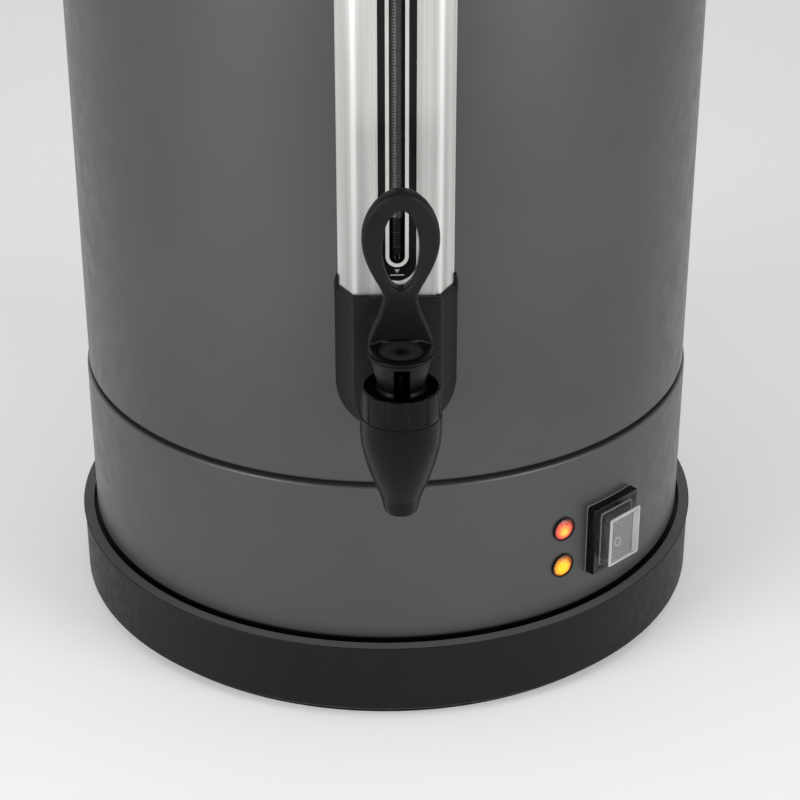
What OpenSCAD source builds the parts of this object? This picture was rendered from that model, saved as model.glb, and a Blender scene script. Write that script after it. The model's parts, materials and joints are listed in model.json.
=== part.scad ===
// Double-wall coffee urn with a percolator set, a sight gauge and a self-closing tap.
// Millimetres. +Z is up, the floor is z = 0, the urn's axis is Z and the tap faces -Y.
// "Reach" is a distance from the urn's axis towards the tap, along -Y.

/* [Body] */
// Outside radius of the painted outer shell
body_r = 150; // [146:1:154]
// Sheet thickness of the shell and of the base band
sheet_t = 1.0; // [0.8:0.1:1.2]
// Distance from the top of the gauge's guard to the shell's top edge
shell_over_guard = 43; // [36:1:55]
// Height of the middle of the dark seam under the shell
seam_z = 122.55; // [120:0.05:125]
// Height of the seam gap
seam_gap = 1.3; // [1:0.1:2.6]
// How deep the seam's gasket lies behind the shell
seam_depth = 2.8; // [2:0.1:4]
// How far the base band stands out past the shell
band_swell = 1.0; // [0.6:0.1:1.6]
// Rounding of the base band's top shoulder
band_round = 1.3; // [1.2:0.1:4]
// Width of the turned-in flanges on both sides of the seam
flange_w = 9; // [7:0.5:11]

/* [Base] */
// How far the base ring stands out past the shell
ring_step = 7.5; // [6:0.5:10]
// Height of the base ring's ledge
ledge_z = 40; // [34:1:46]
// Wall of the base ring
ring_wall = 3; // [2.5:0.1:4]
// Thickness of the painted sheet that covers the ledge
trim_t = 0.8; // [0.6:0.1:1.2]
// How far that sheet reaches past the base ring's wall
trim_lip = 0.7; // [0.3:0.1:1.2]
// Distance from the base band's face to the inner edge of the ledge's sheet
groove_w = 1.9; // [1:0.1:3]
// Depth of the groove behind the ledge
groove_d = 3; // [2:0.1:5]
// Height at which the base band starts to curl inwards
curl_h = 3; // [2.5:0.1:4]
// Radius of that curl
curl_r = 3; // [2:0.1:4]
// Height that the foot ring lifts the base ring
foot_h = 5; // [4:0.5:8]
// Width of the foot ring
foot_w = 12; // [8:0.5:14]
// Thickness of the base ring's bottom flange
ring_flange_t = 4.5; // [4:0.1:6]
// Thickness of the base plate
plate_t = 1.2; // [1:0.1:1.5]
// Number of base plate screws
plate_screws = 6; // [4:1:8]
// Shank radius of the base plate screws
plate_screw_r = 1.5; // [1.2:0.1:2]

/* [Tank and rim] */
// Air gap between the shell and the inner tank
tank_gap = 16; // [14:1:20]
// Sheet thickness of the tank
tank_t = 0.8; // [0.6:0.1:1.0]
// Height of the underside of the tank's floor
tank_floor_z = 132; // [130:1:136]
// Radius of the well in the tank's floor
well_r = 21; // [19:1:26]
// Depth of the well
well_depth = 12; // [9:1:13]
// Thickness of the rim ring above the tank's flange
rim_t = 3.2; // [2.6:0.2:5]
// How far the rim ring's skirt reaches down the shell
rim_skirt = 4; // [3:0.5:8]

/* [Sight gauge] */
// Half width of the guard's front face
guard_front_hw = 18.3; // [17:0.1:20]
// Half width of the guard at its rear edges
guard_rear_hw = 24.9; // [24:0.1:27]
// How far the guard's front face stands out from the shell
guard_depth = 12; // [11.5:0.5:14]
// Sheet thickness of the guard
guard_t = 0.8; // [0.6:0.1:1.0]
// Height of the guard's bottom edge above the tap's shank
guard_rise = 52; // [50:1:58]
// Length of the guard
guard_len = 165; // [140:1:190]
// Width of the guard's slot
slot_w = 16; // [14:0.5:17]
// Distance from the guard's ends to the slot
slot_margin = 8.5; // [7:0.5:12]
// Width of the folded hem around the slot
hem_w = 1.8; // [1.2:0.1:2.2]
// Width of the window that shows the tube
window_w = 6.5; // [6:0.1:7]
// Distance from the slot's end to the window's end
window_margin = 7.4; // [6:0.2:12]
// Outside radius of the glass tube
tube_r = 4; // [3.6:0.1:4.2]
// Wall of the glass tube
tube_wall = 1; // [0.8:0.1:1.2]
// Thickness of the boot's and cap's wall past the guard
boot_wall = 1.4; // [1.2:0.1:2.2]
// Distance of the boot's round end from the shank, upwards
boot_rise = 7; // [5:0.5:9]

/* [Tap] */
// Height of the tap's shank above the tank's floor
tap_rise = 36; // [34:1:40]
// Distance of the tap's axis in front of the shell
tap_reach = 55; // [52:1:60]
// Outside radius of the shank
shank_r = 8; // [7.5:0.1:9]
// Radius of the shank's bore
shank_bore_r = 5; // [4:0.1:5.5]
// Largest radius of the tap's body
tap_r = 17; // [16.5:0.1:18]
// Radius of the spout's outlet bore
outlet_r = 5; // [4.5:0.1:5.4]
// Radius of the valve chamber
chamber_r = 10.5; // [9.5:0.1:11]
// Height of the bonnet ring
bonnet_h = 12.7; // [12:0.1:14]
// Radius of the bonnet's open mouth
mouth_r = 15.4; // [15:0.1:15.5]
// Number of grip grooves around the bonnet
grip_count = 12; // [8:1:16]
// Radius of the valve's stem
stem_r = 3; // [2.6:0.1:3.2]
// Rise of the stem for one radian of the handle's tilt
lift_per_rad = 2.2; // [1.6:0.1:2.6]

/* [Tap handle] */
// Radius of the thumb disc
disc_r = 14.2; // [13.5:0.1:14.8]
// Height of the thumb disc's rim above the pin
disc_rise = 14.2; // [13:0.1:15]
// Thickness of the handle's plate
lever_t = 6.5; // [5.5:0.1:7.5]
// Half width of the handle at its neck
neck_hw = 6.7; // [6:0.1:7.5]
// Half width of the loop
loop_hw = 15.5; // [14:0.1:17]
// Height of the loop's top above the pin
loop_top = 83.9; // [80:0.1:92]
// Half width of the loop's finger hole
hole_hw = 7.6; // [6:0.1:8.5]
// Forward lean of the handle's plate
lever_lean = 5.6; // [3:0.1:7]
// Radius of the handle's pin
pin_r = 1.25; // [1:0.05:1.4]

/* [Controls] */
// Angle of the power switch around the body, from the tap
switch_az = 42.6; // [40:0.1:60]
// Height of the middle of the power switch
switch_z = 74.6; // [70:0.1:80]
// Width of the switch's bezel
bezel_w = 30.2; // [29:0.1:34]
// Height of the switch's bezel
bezel_h = 35.4; // [34:0.1:38]
// How far the bezel stands out from the band
bezel_t = 4.3; // [2.2:0.1:5]
// How far the clear splash cover stands out past the bezel
cover_rise = 6; // [5:0.1:8]
// Wall of the clear splash cover
cover_wall = 1.2; // [1:0.1:1.5]
// Angle that the rocker tips between on and off
rocker_swing = 12; // [8:1:14]
// Angle of the two pilot lamps around the body
lamp_az = 31.4; // [26:0.1:32]
// Height of the middle between the two lamps
lamp_mid_z = 75.6; // [70:0.2:80]
// Distance between the two lamps
lamp_pitch = 19.8; // [17:0.2:26]
// Radius of a lamp's lens
lens_r = 5.3; // [4.5:0.1:6.2]
// Height of the power inlet's middle
inlet_z = 72; // [68:1:80]

/* [Side handles] */
// Height of the side handles
grip_z = 335; // [300:5:370]
// Distance between a handle's two posts
grip_span = 84; // [78:1:96]
// Distance from the shell to the middle of the grip
grip_reach = 38; // [34:1:44]
// Radius of the grip
grip_r = 9.5; // [8:0.5:11]

/* [Lid] */
// Height of the lid's dome
dome_h = 20; // [14:1:28]
// Sheet thickness of the lid
lid_t = 1.2; // [1:0.1:1.5]
// Depth of the lid's skirt in the tank's mouth
lid_drop = 9; // [6:0.5:14]
// Radius of the lid's knob
knob_r = 21; // [17:1:24]
// Height of the lid's knob
knob_h = 34; // [28:1:40]

/* [Percolator] */
// Outside radius of the pump tube
pump_r = 6; // [5.5:0.1:7]
// Radius of the coffee basket
basket_r = 86; // [75:1:100]
// Height of the coffee basket
basket_h = 46; // [38:1:50]
// Rows of holes in the basket's floor
basket_rows = 3; // [2:1:4]

/* [Hidden] */
$fn = 64;

// Clearances
fit = 0.05;          // around shanks, pins and stems
slip = 0.15;         // between curved faces that only lie on each other
seat = 0.2;          // under a piece that lifts off or moves
eps = 0.01;          // overshoot of a cut past a face
far = 400;           // length of a cut that goes right through

// Body of revolution
band_r = body_r + band_swell;
band_in = band_r - sheet_t;
band_top = seam_z - seam_gap / 2;
shell_bottom = seam_z + seam_gap / 2;
shell_in = body_r - sheet_t;
flange_r = body_r - flange_w;
shell_edge = 2;
ring_r = body_r + ring_step;
ring_in = ring_r - ring_wall;
groove_r = band_r + groove_w;
curl_z = ledge_z + curl_h;
curl_sweep = 70;
band_foot_r = band_r - curl_r * (1 - cos(curl_sweep));
collar_h = 9;
collar_t = 3;
plate_r = foot_in() - 1;
plate_circle_r = plate_r - 10;
boss_r = 4;
boss_h = 6.5;

// Tank
tank_r = shell_in - tank_gap;
tank_in = tank_r - tank_t;
tank_corner = 6;
well_floor_z = tank_floor_z - well_depth;
heater_h = 7;
heater_r = well_r + 3;
shield_z = well_floor_z - heater_h - 7;
shield_t = 1;
shield_r = flange_r + 7;
warm_r = 84;
shell_top_z = tank_floor_z + tap_rise + guard_rise + guard_len + shell_over_guard;
mouth_z = shell_top_z + tank_t;
rim_top = mouth_z + rim_t;
lid_r = body_r - 1.5;

// Tap and gauge
tap_z = tank_floor_z + tap_rise;
tap_p = body_r + tap_reach;
guard_p = body_r + guard_depth;
guard_z0 = tap_z + guard_rise;
guard_z1 = guard_z0 + guard_len;
guard_rear_p = sqrt(body_r * body_r - guard_rear_hw * guard_rear_hw) + 0.15;
guard_slope = (guard_rear_hw - guard_front_hw) / (guard_p - guard_rear_p);
slot_z0 = guard_z0 + slot_margin;
slot_z1 = guard_z1 - slot_margin;
window_t = 1.2;
window_rear_p = guard_p - guard_t - window_t;
tube_p = window_rear_p - tube_r - 0.3;
boot_p = guard_p + boot_wall + 0.3;
boot_top = guard_z0 + 1.3;
boot_z = tap_z + boot_rise;
cap_bottom = guard_z1 - 1.5;
cap_z = guard_z1 + 1;
union_r = shank_r + 2.8;
union_top = tap_z + 32;
tube_z0 = tap_z + 20;
tube_z1 = cap_z + 10;
socket_r = tube_r + 1.3;

// Tap heights, above the shank's axis
spout_z = tap_z - 25.5;
valve_z = tap_z - 8;
bonnet_z0 = tap_z + 20.3;
bonnet_z1 = bonnet_z0 + bonnet_h;
neck_r = 14;
shank_inside = 13;
neck_top = bonnet_z0 + 3.7;
floor_z = neck_top + 2;
pin_z = floor_z + 9;
pin_half = 9.5;
cam_rest = pin_z - floor_z - fit;
tilt_max = 50;
lever_slot_hw = stem_r + 0.2;

// Controls
switch_front = band_r + bezel_t;
rocker_pivot = switch_front - 6.5;
rocker_hw = 8.6;
rocker_hh = 11;
well_hw = rocker_hw + 0.4;
well_hh = rocker_hh + 0.8;
recess_t = 1;
cover_w = bezel_w - 7.8;
cover_h = bezel_h - 7.4;
barrel_r = lens_r + 0.4;
barrel_depth = 20;
bulb_l = 10.5;
bulb_p = band_r - barrel_depth + 1.5 + bulb_l;
inlet_front = band_r + 3.5;
socket_w = 24;
socket_h = 16.5;
socket_d = 16;
inlet_ear = 20;
pin_tail = 12;

// Underside controls
reset_xy = [-62, 18];
reset_r = 3.6;
cutout_h = 26;

// Side handles
grip_p = body_r + grip_reach;
grip_bend = 15;
post_y = grip_span / 2;
pad_p = body_r + 1.5;
grip_screw_l = 18;

// Lid
lid_z = rim_top + seat;
dome_r0 = lid_r - 4;
dome_z1 = lid_z + lid_t + 0.6 + dome_h;
dome_radius = (dome_r0 * dome_r0 + dome_h * dome_h) / (2 * dome_h);
skirt_r = tank_in - 2;

// Percolator
pump_z0 = well_floor_z + tank_t + seat;
basket_z0 = shell_top_z - basket_h - 22;
basket_t = 1;
sleeve_in = pump_r + 0.3;
sleeve_out = sleeve_in + 1.2;
cover_z0 = basket_z0 + basket_h + seat;
pump_top = cover_z0 + 14;

function foot_in() = body_r + ring_step - 5.5 - foot_w;
function arc(c, r, a0, a1, n = 8) =
    [for (i = [0:n]) let (a = a0 + (a1 - a0) * i / n) [c[0] + r * cos(a), c[1] + r * sin(a)]];
function bezier(a, b, c, d, n = 10) =
    [for (i = [0:n]) let (t = i / n, u = 1 - t)
        u * u * u * a + 3 * u * u * t * b + 3 * u * t * t * c + t * t * t * d];
function dome_z(r) = dome_z1 - dome_radius + sqrt(dome_radius * dome_radius - r * r);

// A smooth path through hand-placed points, with steps rings between two of them
function path(p, steps) = [
    for (i = [0:len(p) - 2], k = [0:steps - 1])
        let (t = k / steps, a = p[max(i - 1, 0)], b = p[i], c = p[i + 1], d = p[min(i + 2, len(p) - 1)])
        0.5 * (2 * b + (c - a) * t + (2 * a - 5 * b + 4 * c - d) * t * t
            + (3 * b - a - 3 * c + d) * t * t * t),
    p[len(p) - 1]
];
function unit(v) = v / norm(v);

// Turns what is drawn at the tap's side to an angle around the body
module at(az, z = 0) { rotate([0, 0, az]) translate([0, 0, z]) children(); }

// Extrudes an upright outline from one reach to another
module outward(p0, p1) {
    translate([0, -p0, 0]) rotate([90, 0, 0]) linear_extrude(p1 - p0) children();
}

// A round bar along the reach
module bar(r, p0, p1) { translate([0, -p0, 0]) rotate([90, 0, 0]) cylinder(r = r, h = p1 - p0); }

// A wide cylinder around the body's axis, as fine as its size needs
module core(r, z0, z1) { translate([0, 0, z0]) cylinder(r = r, h = z1 - z0, $fn = 240); }

// A round bar along X
module cross_bar(r, half) { rotate([0, 90, 0]) cylinder(r = r, h = 2 * half, center = true); }

module ring(r_in, r_out, z0, z1) {
    translate([0, 0, z0]) difference() {
        cylinder(r = r_out, h = z1 - z0);
        translate([0, 0, -eps]) cylinder(r = r_in, h = z1 - z0 + 2 * eps);
    }
}

module round_rect(w, h, r) {
    square([w - 2 * r, h], center = true);
    square([w, h - 2 * r], center = true);
    for (x = [-1, 1], y = [-1, 1]) translate([x * (w / 2 - r), y * (h / 2 - r)]) circle(r);
}

// An upright slot with round ends
module stadium(w, z0, z1) {
    translate([-w / 2, z0 + w / 2]) square([w, z1 - z0 - w]);
    for (z = [z0 + w / 2, z1 - w / 2]) translate([0, z]) circle(w / 2);
}

module tube_sweep(pts, r, sides = 8) {
    n = len(pts);
    guide = [0.31, 0.17, 0.93];
    rings = [for (i = [0:n - 1])
        let (t = unit(pts[min(i + 1, n - 1)] - pts[max(i - 1, 0)]),
            u = unit(cross(t, guide)), v = cross(t, u))
        for (k = [0:sides - 1]) let (a = 360 * k / sides) pts[i] + r * (cos(a) * u + sin(a) * v)];
    walls = [for (i = [0:n - 2], k = [0:sides - 1]) let (q = (k + 1) % sides)
        [i * sides + q, i * sides + k, (i + 1) * sides + k, (i + 1) * sides + q]];
    ends = [[for (k = [0:sides - 1]) k], [for (k = [sides - 1:-1:0]) (n - 1) * sides + k]];
    polyhedron(points = rings, faces = concat(walls, ends), convexity = 8);
}

// ---- Base ----

module foot_ring() {
    r0 = foot_in();
    bevel = 0.8;
    color("#151515") rotate_extrude() polygon([
        [r0 + bevel, 0], [r0 + foot_w - bevel, 0], [r0 + foot_w, bevel],
        [r0 + foot_w, foot_h + 2], [r0, foot_h + 2], [r0, bevel]
    ]);
}

module plate_places(r) {
    for (i = [0:plate_screws - 1]) rotate([0, 0, 360 * (i + 0.5) / plate_screws]) translate([r, 0, 0])
        children();
}

module base_ring() {
    r0 = foot_in() - fit;
    r1 = foot_in() + foot_w + fit;
    inner = plate_r - 16;
    collar_r = band_foot_r - sheet_t - 0.3;
    shelf_z = ledge_z - groove_d;
    wall_top = ledge_z - trim_t;
    flange_top = foot_h + ring_flange_t;
    color("#262626") difference() {
        union() {
            rotate_extrude() polygon([
                [inner, foot_h], [r0, foot_h], [r0, foot_h + 2], [r1, foot_h + 2], [r1, foot_h],
                [ring_r - 1, foot_h], [ring_r, foot_h + 1], [ring_r, wall_top],
                [groove_r + trim_t, wall_top], [groove_r + trim_t, shelf_z], [collar_r, shelf_z],
                [collar_r, shelf_z + collar_h], [collar_r - collar_t, shelf_z + collar_h],
                [collar_r - collar_t, shelf_z - ring_wall], [ring_in, shelf_z - ring_wall],
                [ring_in, flange_top], [inner, flange_top]
            ]);
            plate_places(plate_circle_r) translate([0, 0, flange_top - 1])
                cylinder(r = boss_r, h = boss_h + 1);
        }
        plate_places(plate_circle_r) translate([0, 0, foot_h - eps])
            cylinder(r = plate_screw_r + fit, h = ring_flange_t + boss_h + 1);
    }
}

// Painted sheet on the ledge, turned down into the groove on its inner side
module base_trim() {
    edge = trim_t / 2;
    lip_r = ring_r + trim_lip;
    shelf_z = ledge_z - groove_d;
    color("#565656") rotate_extrude() polygon(concat(
        [[groove_r, shelf_z], [groove_r + trim_t, shelf_z], [groove_r + trim_t, ledge_z - trim_t],
         [lip_r - edge, ledge_z - trim_t]],
        arc([lip_r - edge, ledge_z - edge], edge, -90, 90),
        [[groove_r, ledge_z]]
    ));
}

module base_plate() {
    slot_rows = 3;
    slots = 12;
    color("#3a3a3a") difference() {
        translate([0, 0, foot_h - plate_t]) cylinder(r = plate_r, h = plate_t);
        plate_places(plate_circle_r) translate([0, 0, foot_h - plate_t - eps])
            cylinder(r = plate_screw_r + 0.4, h = plate_t + 2 * eps);
        for (row = [0:slot_rows - 1], i = [0:slots - 1])
            rotate([0, 0, 360 * i / slots + 15]) translate([84 + 9 * row, 0, foot_h - plate_t - eps])
                linear_extrude(plate_t + 2 * eps) round_rect(4, 24, 1.9);
        translate([reset_xy[0], reset_xy[1], foot_h - plate_t - eps])
            cylinder(r = reset_r + slip, h = plate_t + 2 * eps);
    }
}

module base_plate_screws() {
    z0 = foot_h - plate_t;
    color("silver") plate_places(plate_circle_r) difference() {
        union() {
            translate([0, 0, z0 - 1.8]) cylinder(r = 2 * plate_screw_r, h = 1.8);
            translate([0, 0, z0 - eps]) cylinder(r = plate_screw_r, h = plate_t + ring_flange_t + 4);
        }
        for (a = [0, 90]) rotate([0, 0, a]) translate([-1.8, -0.3, z0 - 1.8 - eps]) cube([3.6, 0.6, 1]);
    }
}

module base_band() {
    z0 = ledge_z - groove_d;
    r = band_round;
    curl = [band_r - curl_r, curl_z];
    color("#565656") difference() {
        rotate_extrude() polygon(concat(
            [[band_foot_r - sheet_t, z0], [band_foot_r, z0]],
            arc(curl, curl_r, -curl_sweep, 0),
            arc([band_r - r, band_top - r], r, 0, 90),
            [[flange_r, band_top], [flange_r, band_top - sheet_t]],
            arc([band_r - r, band_top - r], r - sheet_t, 90, 0),
            arc(curl, curl_r - sheet_t, 0, -curl_sweep),
            [[band_foot_r - sheet_t, curl_z - (curl_r - sheet_t) - 0.2]]
        ));
        at(switch_az, switch_z) outward(band_r - 8, band_r + 4)
            square([bezel_w - 3, bezel_h - 3.5], center = true);
        for (s = [-1, 1]) at(lamp_az, lamp_mid_z + s * lamp_pitch / 2)
            bar(barrel_r + fit, band_r - 8, band_r + 4);
        at(180, inlet_z) outward(band_r - 8, band_r + 4) square([socket_w + 4, socket_h + 4], center = true);
        at(180, inlet_z) for (x = [-1, 1]) translate([x * inlet_ear, 0, 0]) bar(2, band_r - 8, band_r + 4);
        for (i = [0:3]) rotate([0, 0, 90 * i + 45]) translate([flange_r + 3.5, 0, band_top - 3])
            cylinder(r = 1.6, h = 6);
    }
}

module seam_gasket() {
    color("#101010") difference() {
        ring(flange_r, body_r - seam_depth, band_top, shell_bottom);
        for (i = [0:3]) rotate([0, 0, 90 * i + 45]) translate([flange_r + 3.5, 0, band_top - 3])
            cylinder(r = 2.6, h = 9);
    }
}

module heat_shield() {
    top = band_top - sheet_t;
    r_wall = flange_r - 4;
    hole = 8;
    color("#b8b8b8") difference() {
        rotate_extrude() polygon([
            [0, shield_z], [r_wall, shield_z], [r_wall, top - shield_t], [shield_r, top - shield_t],
            [shield_r, top], [r_wall - shield_t, top], [r_wall - shield_t, shield_z + shield_t],
            [0, shield_z + shield_t]
        ]);
        translate([40, 88, shield_z - 1]) cylinder(r = hole, h = 4);
        translate([reset_xy[0], reset_xy[1] + 20, shield_z - 1]) cylinder(r = hole / 2, h = 4);
        for (i = [0:3]) rotate([0, 0, 90 * i + 45]) translate([flange_r + 3.5, 0, top - 3])
            cylinder(r = 1.45, h = 6);
    }
}

module heat_shield_screws() {
    z0 = band_top - sheet_t - shield_t;
    color("silver") for (i = [0:3]) rotate([0, 0, 90 * i + 45]) translate([flange_r + 3.5, 0, 0]) {
        translate([0, 0, z0 - 1.6]) cylinder(r = 2.6, h = 1.6);
        translate([0, 0, z0 - eps]) cylinder(r = 1.4, h = sheet_t + shield_t + 1.5);
    }
}

// ---- Switch and lamps ----

// A block with sloping sides, from its wide base at one reach to its small face at another
module tapered_block(w0, h0, w1, h1, p0, p1) {
    intersection() {
        translate([0, 0, -h0]) linear_extrude(2 * h0)
            polygon([[-w0 / 2, -p0], [w0 / 2, -p0], [w1 / 2, -p1], [-w1 / 2, -p1]]);
        rotate([90, 0, 90]) translate([0, 0, -w0]) linear_extrude(2 * w0)
            polygon([[-p0, -h0 / 2], [-p0, h0 / 2], [-p1, h1 / 2], [-p1, -h1 / 2]]);
    }
}

module switch_body() {
    back = band_r - 29;
    at(switch_az, switch_z) color("#1c1c1c") difference() {
        union() {
            tapered_block(bezel_w, bezel_h, bezel_w - 0.6, bezel_h - 0.4, band_r - 2, switch_front);
            outward(back, band_r) round_rect(bezel_w - 3.6, bezel_h - 4.1, 1.5);
        }
        difference() {
            core(band_r + slip, -bezel_h, bezel_h);
            outward(back - 1, band_r + 4) square([bezel_w - 3.6, bezel_h - 4.1], center = true);
        }
        outward(switch_front - recess_t, switch_front + 1) round_rect(cover_w + 0.5, cover_h + 0.5, 1);
        outward(rocker_pivot - 6, switch_front) square([2 * well_hw, 2 * well_hh], center = true);
        translate([0, -rocker_pivot, 0]) cross_bar(1.55, well_hw + 2);
    }
}

// Outline of the rocker from the side: two faces that meet at a shallow angle
module switch_rocker() {
    half = rocker_swing / 2;
    rise = rocker_hh * tan(half);
    color("#0e0e0e") at(switch_az, switch_z) translate([0, -rocker_pivot, 0]) rotate([-half, 0, 0]) {
        rotate([90, 0, 90]) translate([0, 0, -rocker_hw]) linear_extrude(2 * rocker_hw) polygon([
            [4, -2], [-1, -rocker_hh + 0.4], [-7.2 - rise, -rocker_hh], [-7.2, 0], [-7.2 - rise, rocker_hh],
            [-1, rocker_hh - 0.4], [4, 2]
        ]);
        cross_bar(1.5, well_hw + 1.6);
    }
}

module switch_cover() {
    w = cover_w;
    h = cover_h;
    front_w = w - 1.1;
    front_h = h - 2.5;
    p0 = switch_front - recess_t;
    p1 = switch_front + 0.5;
    p2 = switch_front + cover_rise;
    color("#c8ccd0", 0.5) at(switch_az, switch_z) difference() {
        union() {
            outward(p0, p1) round_rect(w, h, 1);
            tapered_block(w - 0.5, h - 0.5, front_w, front_h, p1 - eps, p2);
        }
        tapered_block(w - 2 * cover_wall, h - 2 * cover_wall, front_w - 2 * cover_wall,
            front_h - 2 * cover_wall, p0 - 1, p2 - cover_wall);
    }
}

module switch_terminals() {
    back = band_r - 29;
    color("#c9a94f") at(switch_az, switch_z) for (x = [-1, 1], z = [-1, 1])
        translate([x * 7 - 0.4, -back, z * 7 - 3.15]) cube([0.8, 9, 6.3]);
}

module lamp_holders() {
    color("#141414") for (s = [-1, 1]) at(lamp_az, lamp_mid_z + s * lamp_pitch / 2) difference() {
        union() {
            bar(lens_r + 0.8, band_r - 1, band_r + 0.9);
            bar(barrel_r, band_r - barrel_depth, band_r);
        }
        difference() {
            core(band_r + slip, -lens_r * 2, lens_r * 2);
            bar(barrel_r, band_r - barrel_depth - 1, band_r + 1);
        }
        bar(lens_r - 1.1, band_r - barrel_depth + 1.5, band_r + 2);
        bar(lens_r + fit, band_r - 1, band_r + 2);
    }
}

module lamp_bulbs() {
    color("#ffd9b0") for (s = [-1, 1]) at(lamp_az, lamp_mid_z + s * lamp_pitch / 2) {
        bar(lens_r - 1.3, bulb_p - bulb_l, bulb_p);
        translate([0, -bulb_p, 0]) sphere(lens_r - 1.3);
    }
}

// A lens with a domed front
module lamp_lens(s, tint) {
    dome = 1.8;
    foot = band_r + 0.5;
    dome_r = (lens_r * lens_r + dome * dome) / (2 * dome);
    color(tint) at(lamp_az, lamp_mid_z + s * lamp_pitch / 2) rotate([90, 0, 0])
        rotate_extrude() polygon(concat(
            [[0, band_r - 1], [lens_r, band_r - 1]],
            arc([0, foot + dome - dome_r], dome_r, asin((dome_r - dome) / dome_r), 90)
        ));
}
module red_lamp_lens() { lamp_lens(1, "#ff5a3c"); }
module amber_lamp_lens() { lamp_lens(-1, "#ffd21e"); }

// ---- Power inlet and wiring ----

module socket_outline(grow = 0) {
    w = socket_w / 2 + grow;
    h = socket_h / 2 + grow;
    cut = 4.5;
    polygon([[-w, -h], [w, -h], [w, h - cut], [w - cut, h], [cut - w, h], [-w, h - cut]]);
}

module blade_outline(i) {
    pts = [[-7, -2.2], [7, -2.2], [0, 3.4]];
    translate(pts[i]) square([2, 4], center = true);
}

module power_inlet() {
    ear_w = 2 * inlet_ear + 10;
    color("#1a1a1a") at(180, inlet_z) difference() {
        union() {
            outward(band_r - 4, inlet_front) round_rect(ear_w, socket_h + 8, 4);
            outward(inlet_front - socket_d - 4, inlet_front) socket_outline(1.7);
        }
        difference() {
            core(band_r + slip, -socket_h - 4, socket_h + 4);
            outward(band_r - 40, band_r + 4) socket_outline(1.7);
        }
        outward(inlet_front - socket_d, inlet_front + 1) socket_outline();
        for (i = [0:2]) outward(inlet_front - socket_d - 6, inlet_front) blade_outline(i);
        for (x = [-1, 1]) translate([x * inlet_ear, 0, 0]) bar(1.7, band_r - 20, inlet_front + 1);
    }
}

module inlet_pins() {
    color("#c9a94f") at(180, inlet_z) for (i = [0:2])
        outward(inlet_front - socket_d - pin_tail, inlet_front - 3) blade_outline(i);
}

module inlet_screws() {
    color("silver") at(180, inlet_z) for (x = [-1, 1]) translate([x * inlet_ear, 0, 0]) difference() {
        union() {
            bar(1.6, band_r - 8, inlet_front + eps);
            bar(3.2, inlet_front, inlet_front + 1.8);
        }
        for (a = [0, 90]) rotate([0, a, 0]) translate([-2, -inlet_front - 2, -0.35]) cube([4, 1.2, 0.7]);
    }
}

block_xy = [18, 62];
module terminal_block() {
    ways = 4;
    pitch = 11;
    color("#e8e4d8") translate([block_xy[0], block_xy[1], foot_h]) difference() {
        translate([0, 0, 0]) cube([ways * pitch, 18, 14]);
        for (i = [0:ways - 1]) translate([(i + 0.5) * pitch, 0, 0]) {
            translate([0, -1, 6]) rotate([-90, 0, 0]) cylinder(r = 2, h = 20);
            for (y = [5, 13]) translate([0, y, 6]) cylinder(r = 2.4, h = 10);
        }
    }
}

// One end of a terminal block way: its middle, at the block's front or rear
function way(i, rear) = [block_xy[0] + (i + 0.5) * 11, block_xy[1] + (rear ? 18.3 : -0.3), foot_h + 6];
// A point behind the switch, at its terminal
function behind_switch(x, dz, d) = let (p = band_r - 29 - 9 - d)
    [p * sin(switch_az) + x * cos(switch_az), -p * cos(switch_az) + x * sin(switch_az), switch_z + dz];
function behind_lamp(s, x, d) = let (p = band_r - barrel_depth - d)
    [p * sin(lamp_az) + x * cos(lamp_az), -p * cos(lamp_az) + x * sin(lamp_az),
     lamp_mid_z + s * lamp_pitch / 2];
// Where a wire that comes from one side meets a post of the well's heater
function at_post(i, from) = let (p = heater_post(i) + [0, 0, shield_z + shield_t + 2.8])
    p + (post_r + 0.3) * unit([from[0] - p[0], from[1] - p[1], 0]);
function behind_inlet(x, z, d) = [-x, inlet_front - socket_d - pin_tail - d, inlet_z + z];

// Points inside the base, in parts of the body's radius
function duct(x, y, z) = body_r * [x, y, z];
function over_shield(x, y, dz) = [body_r * x, body_r * y, shield_z + dz];

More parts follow.
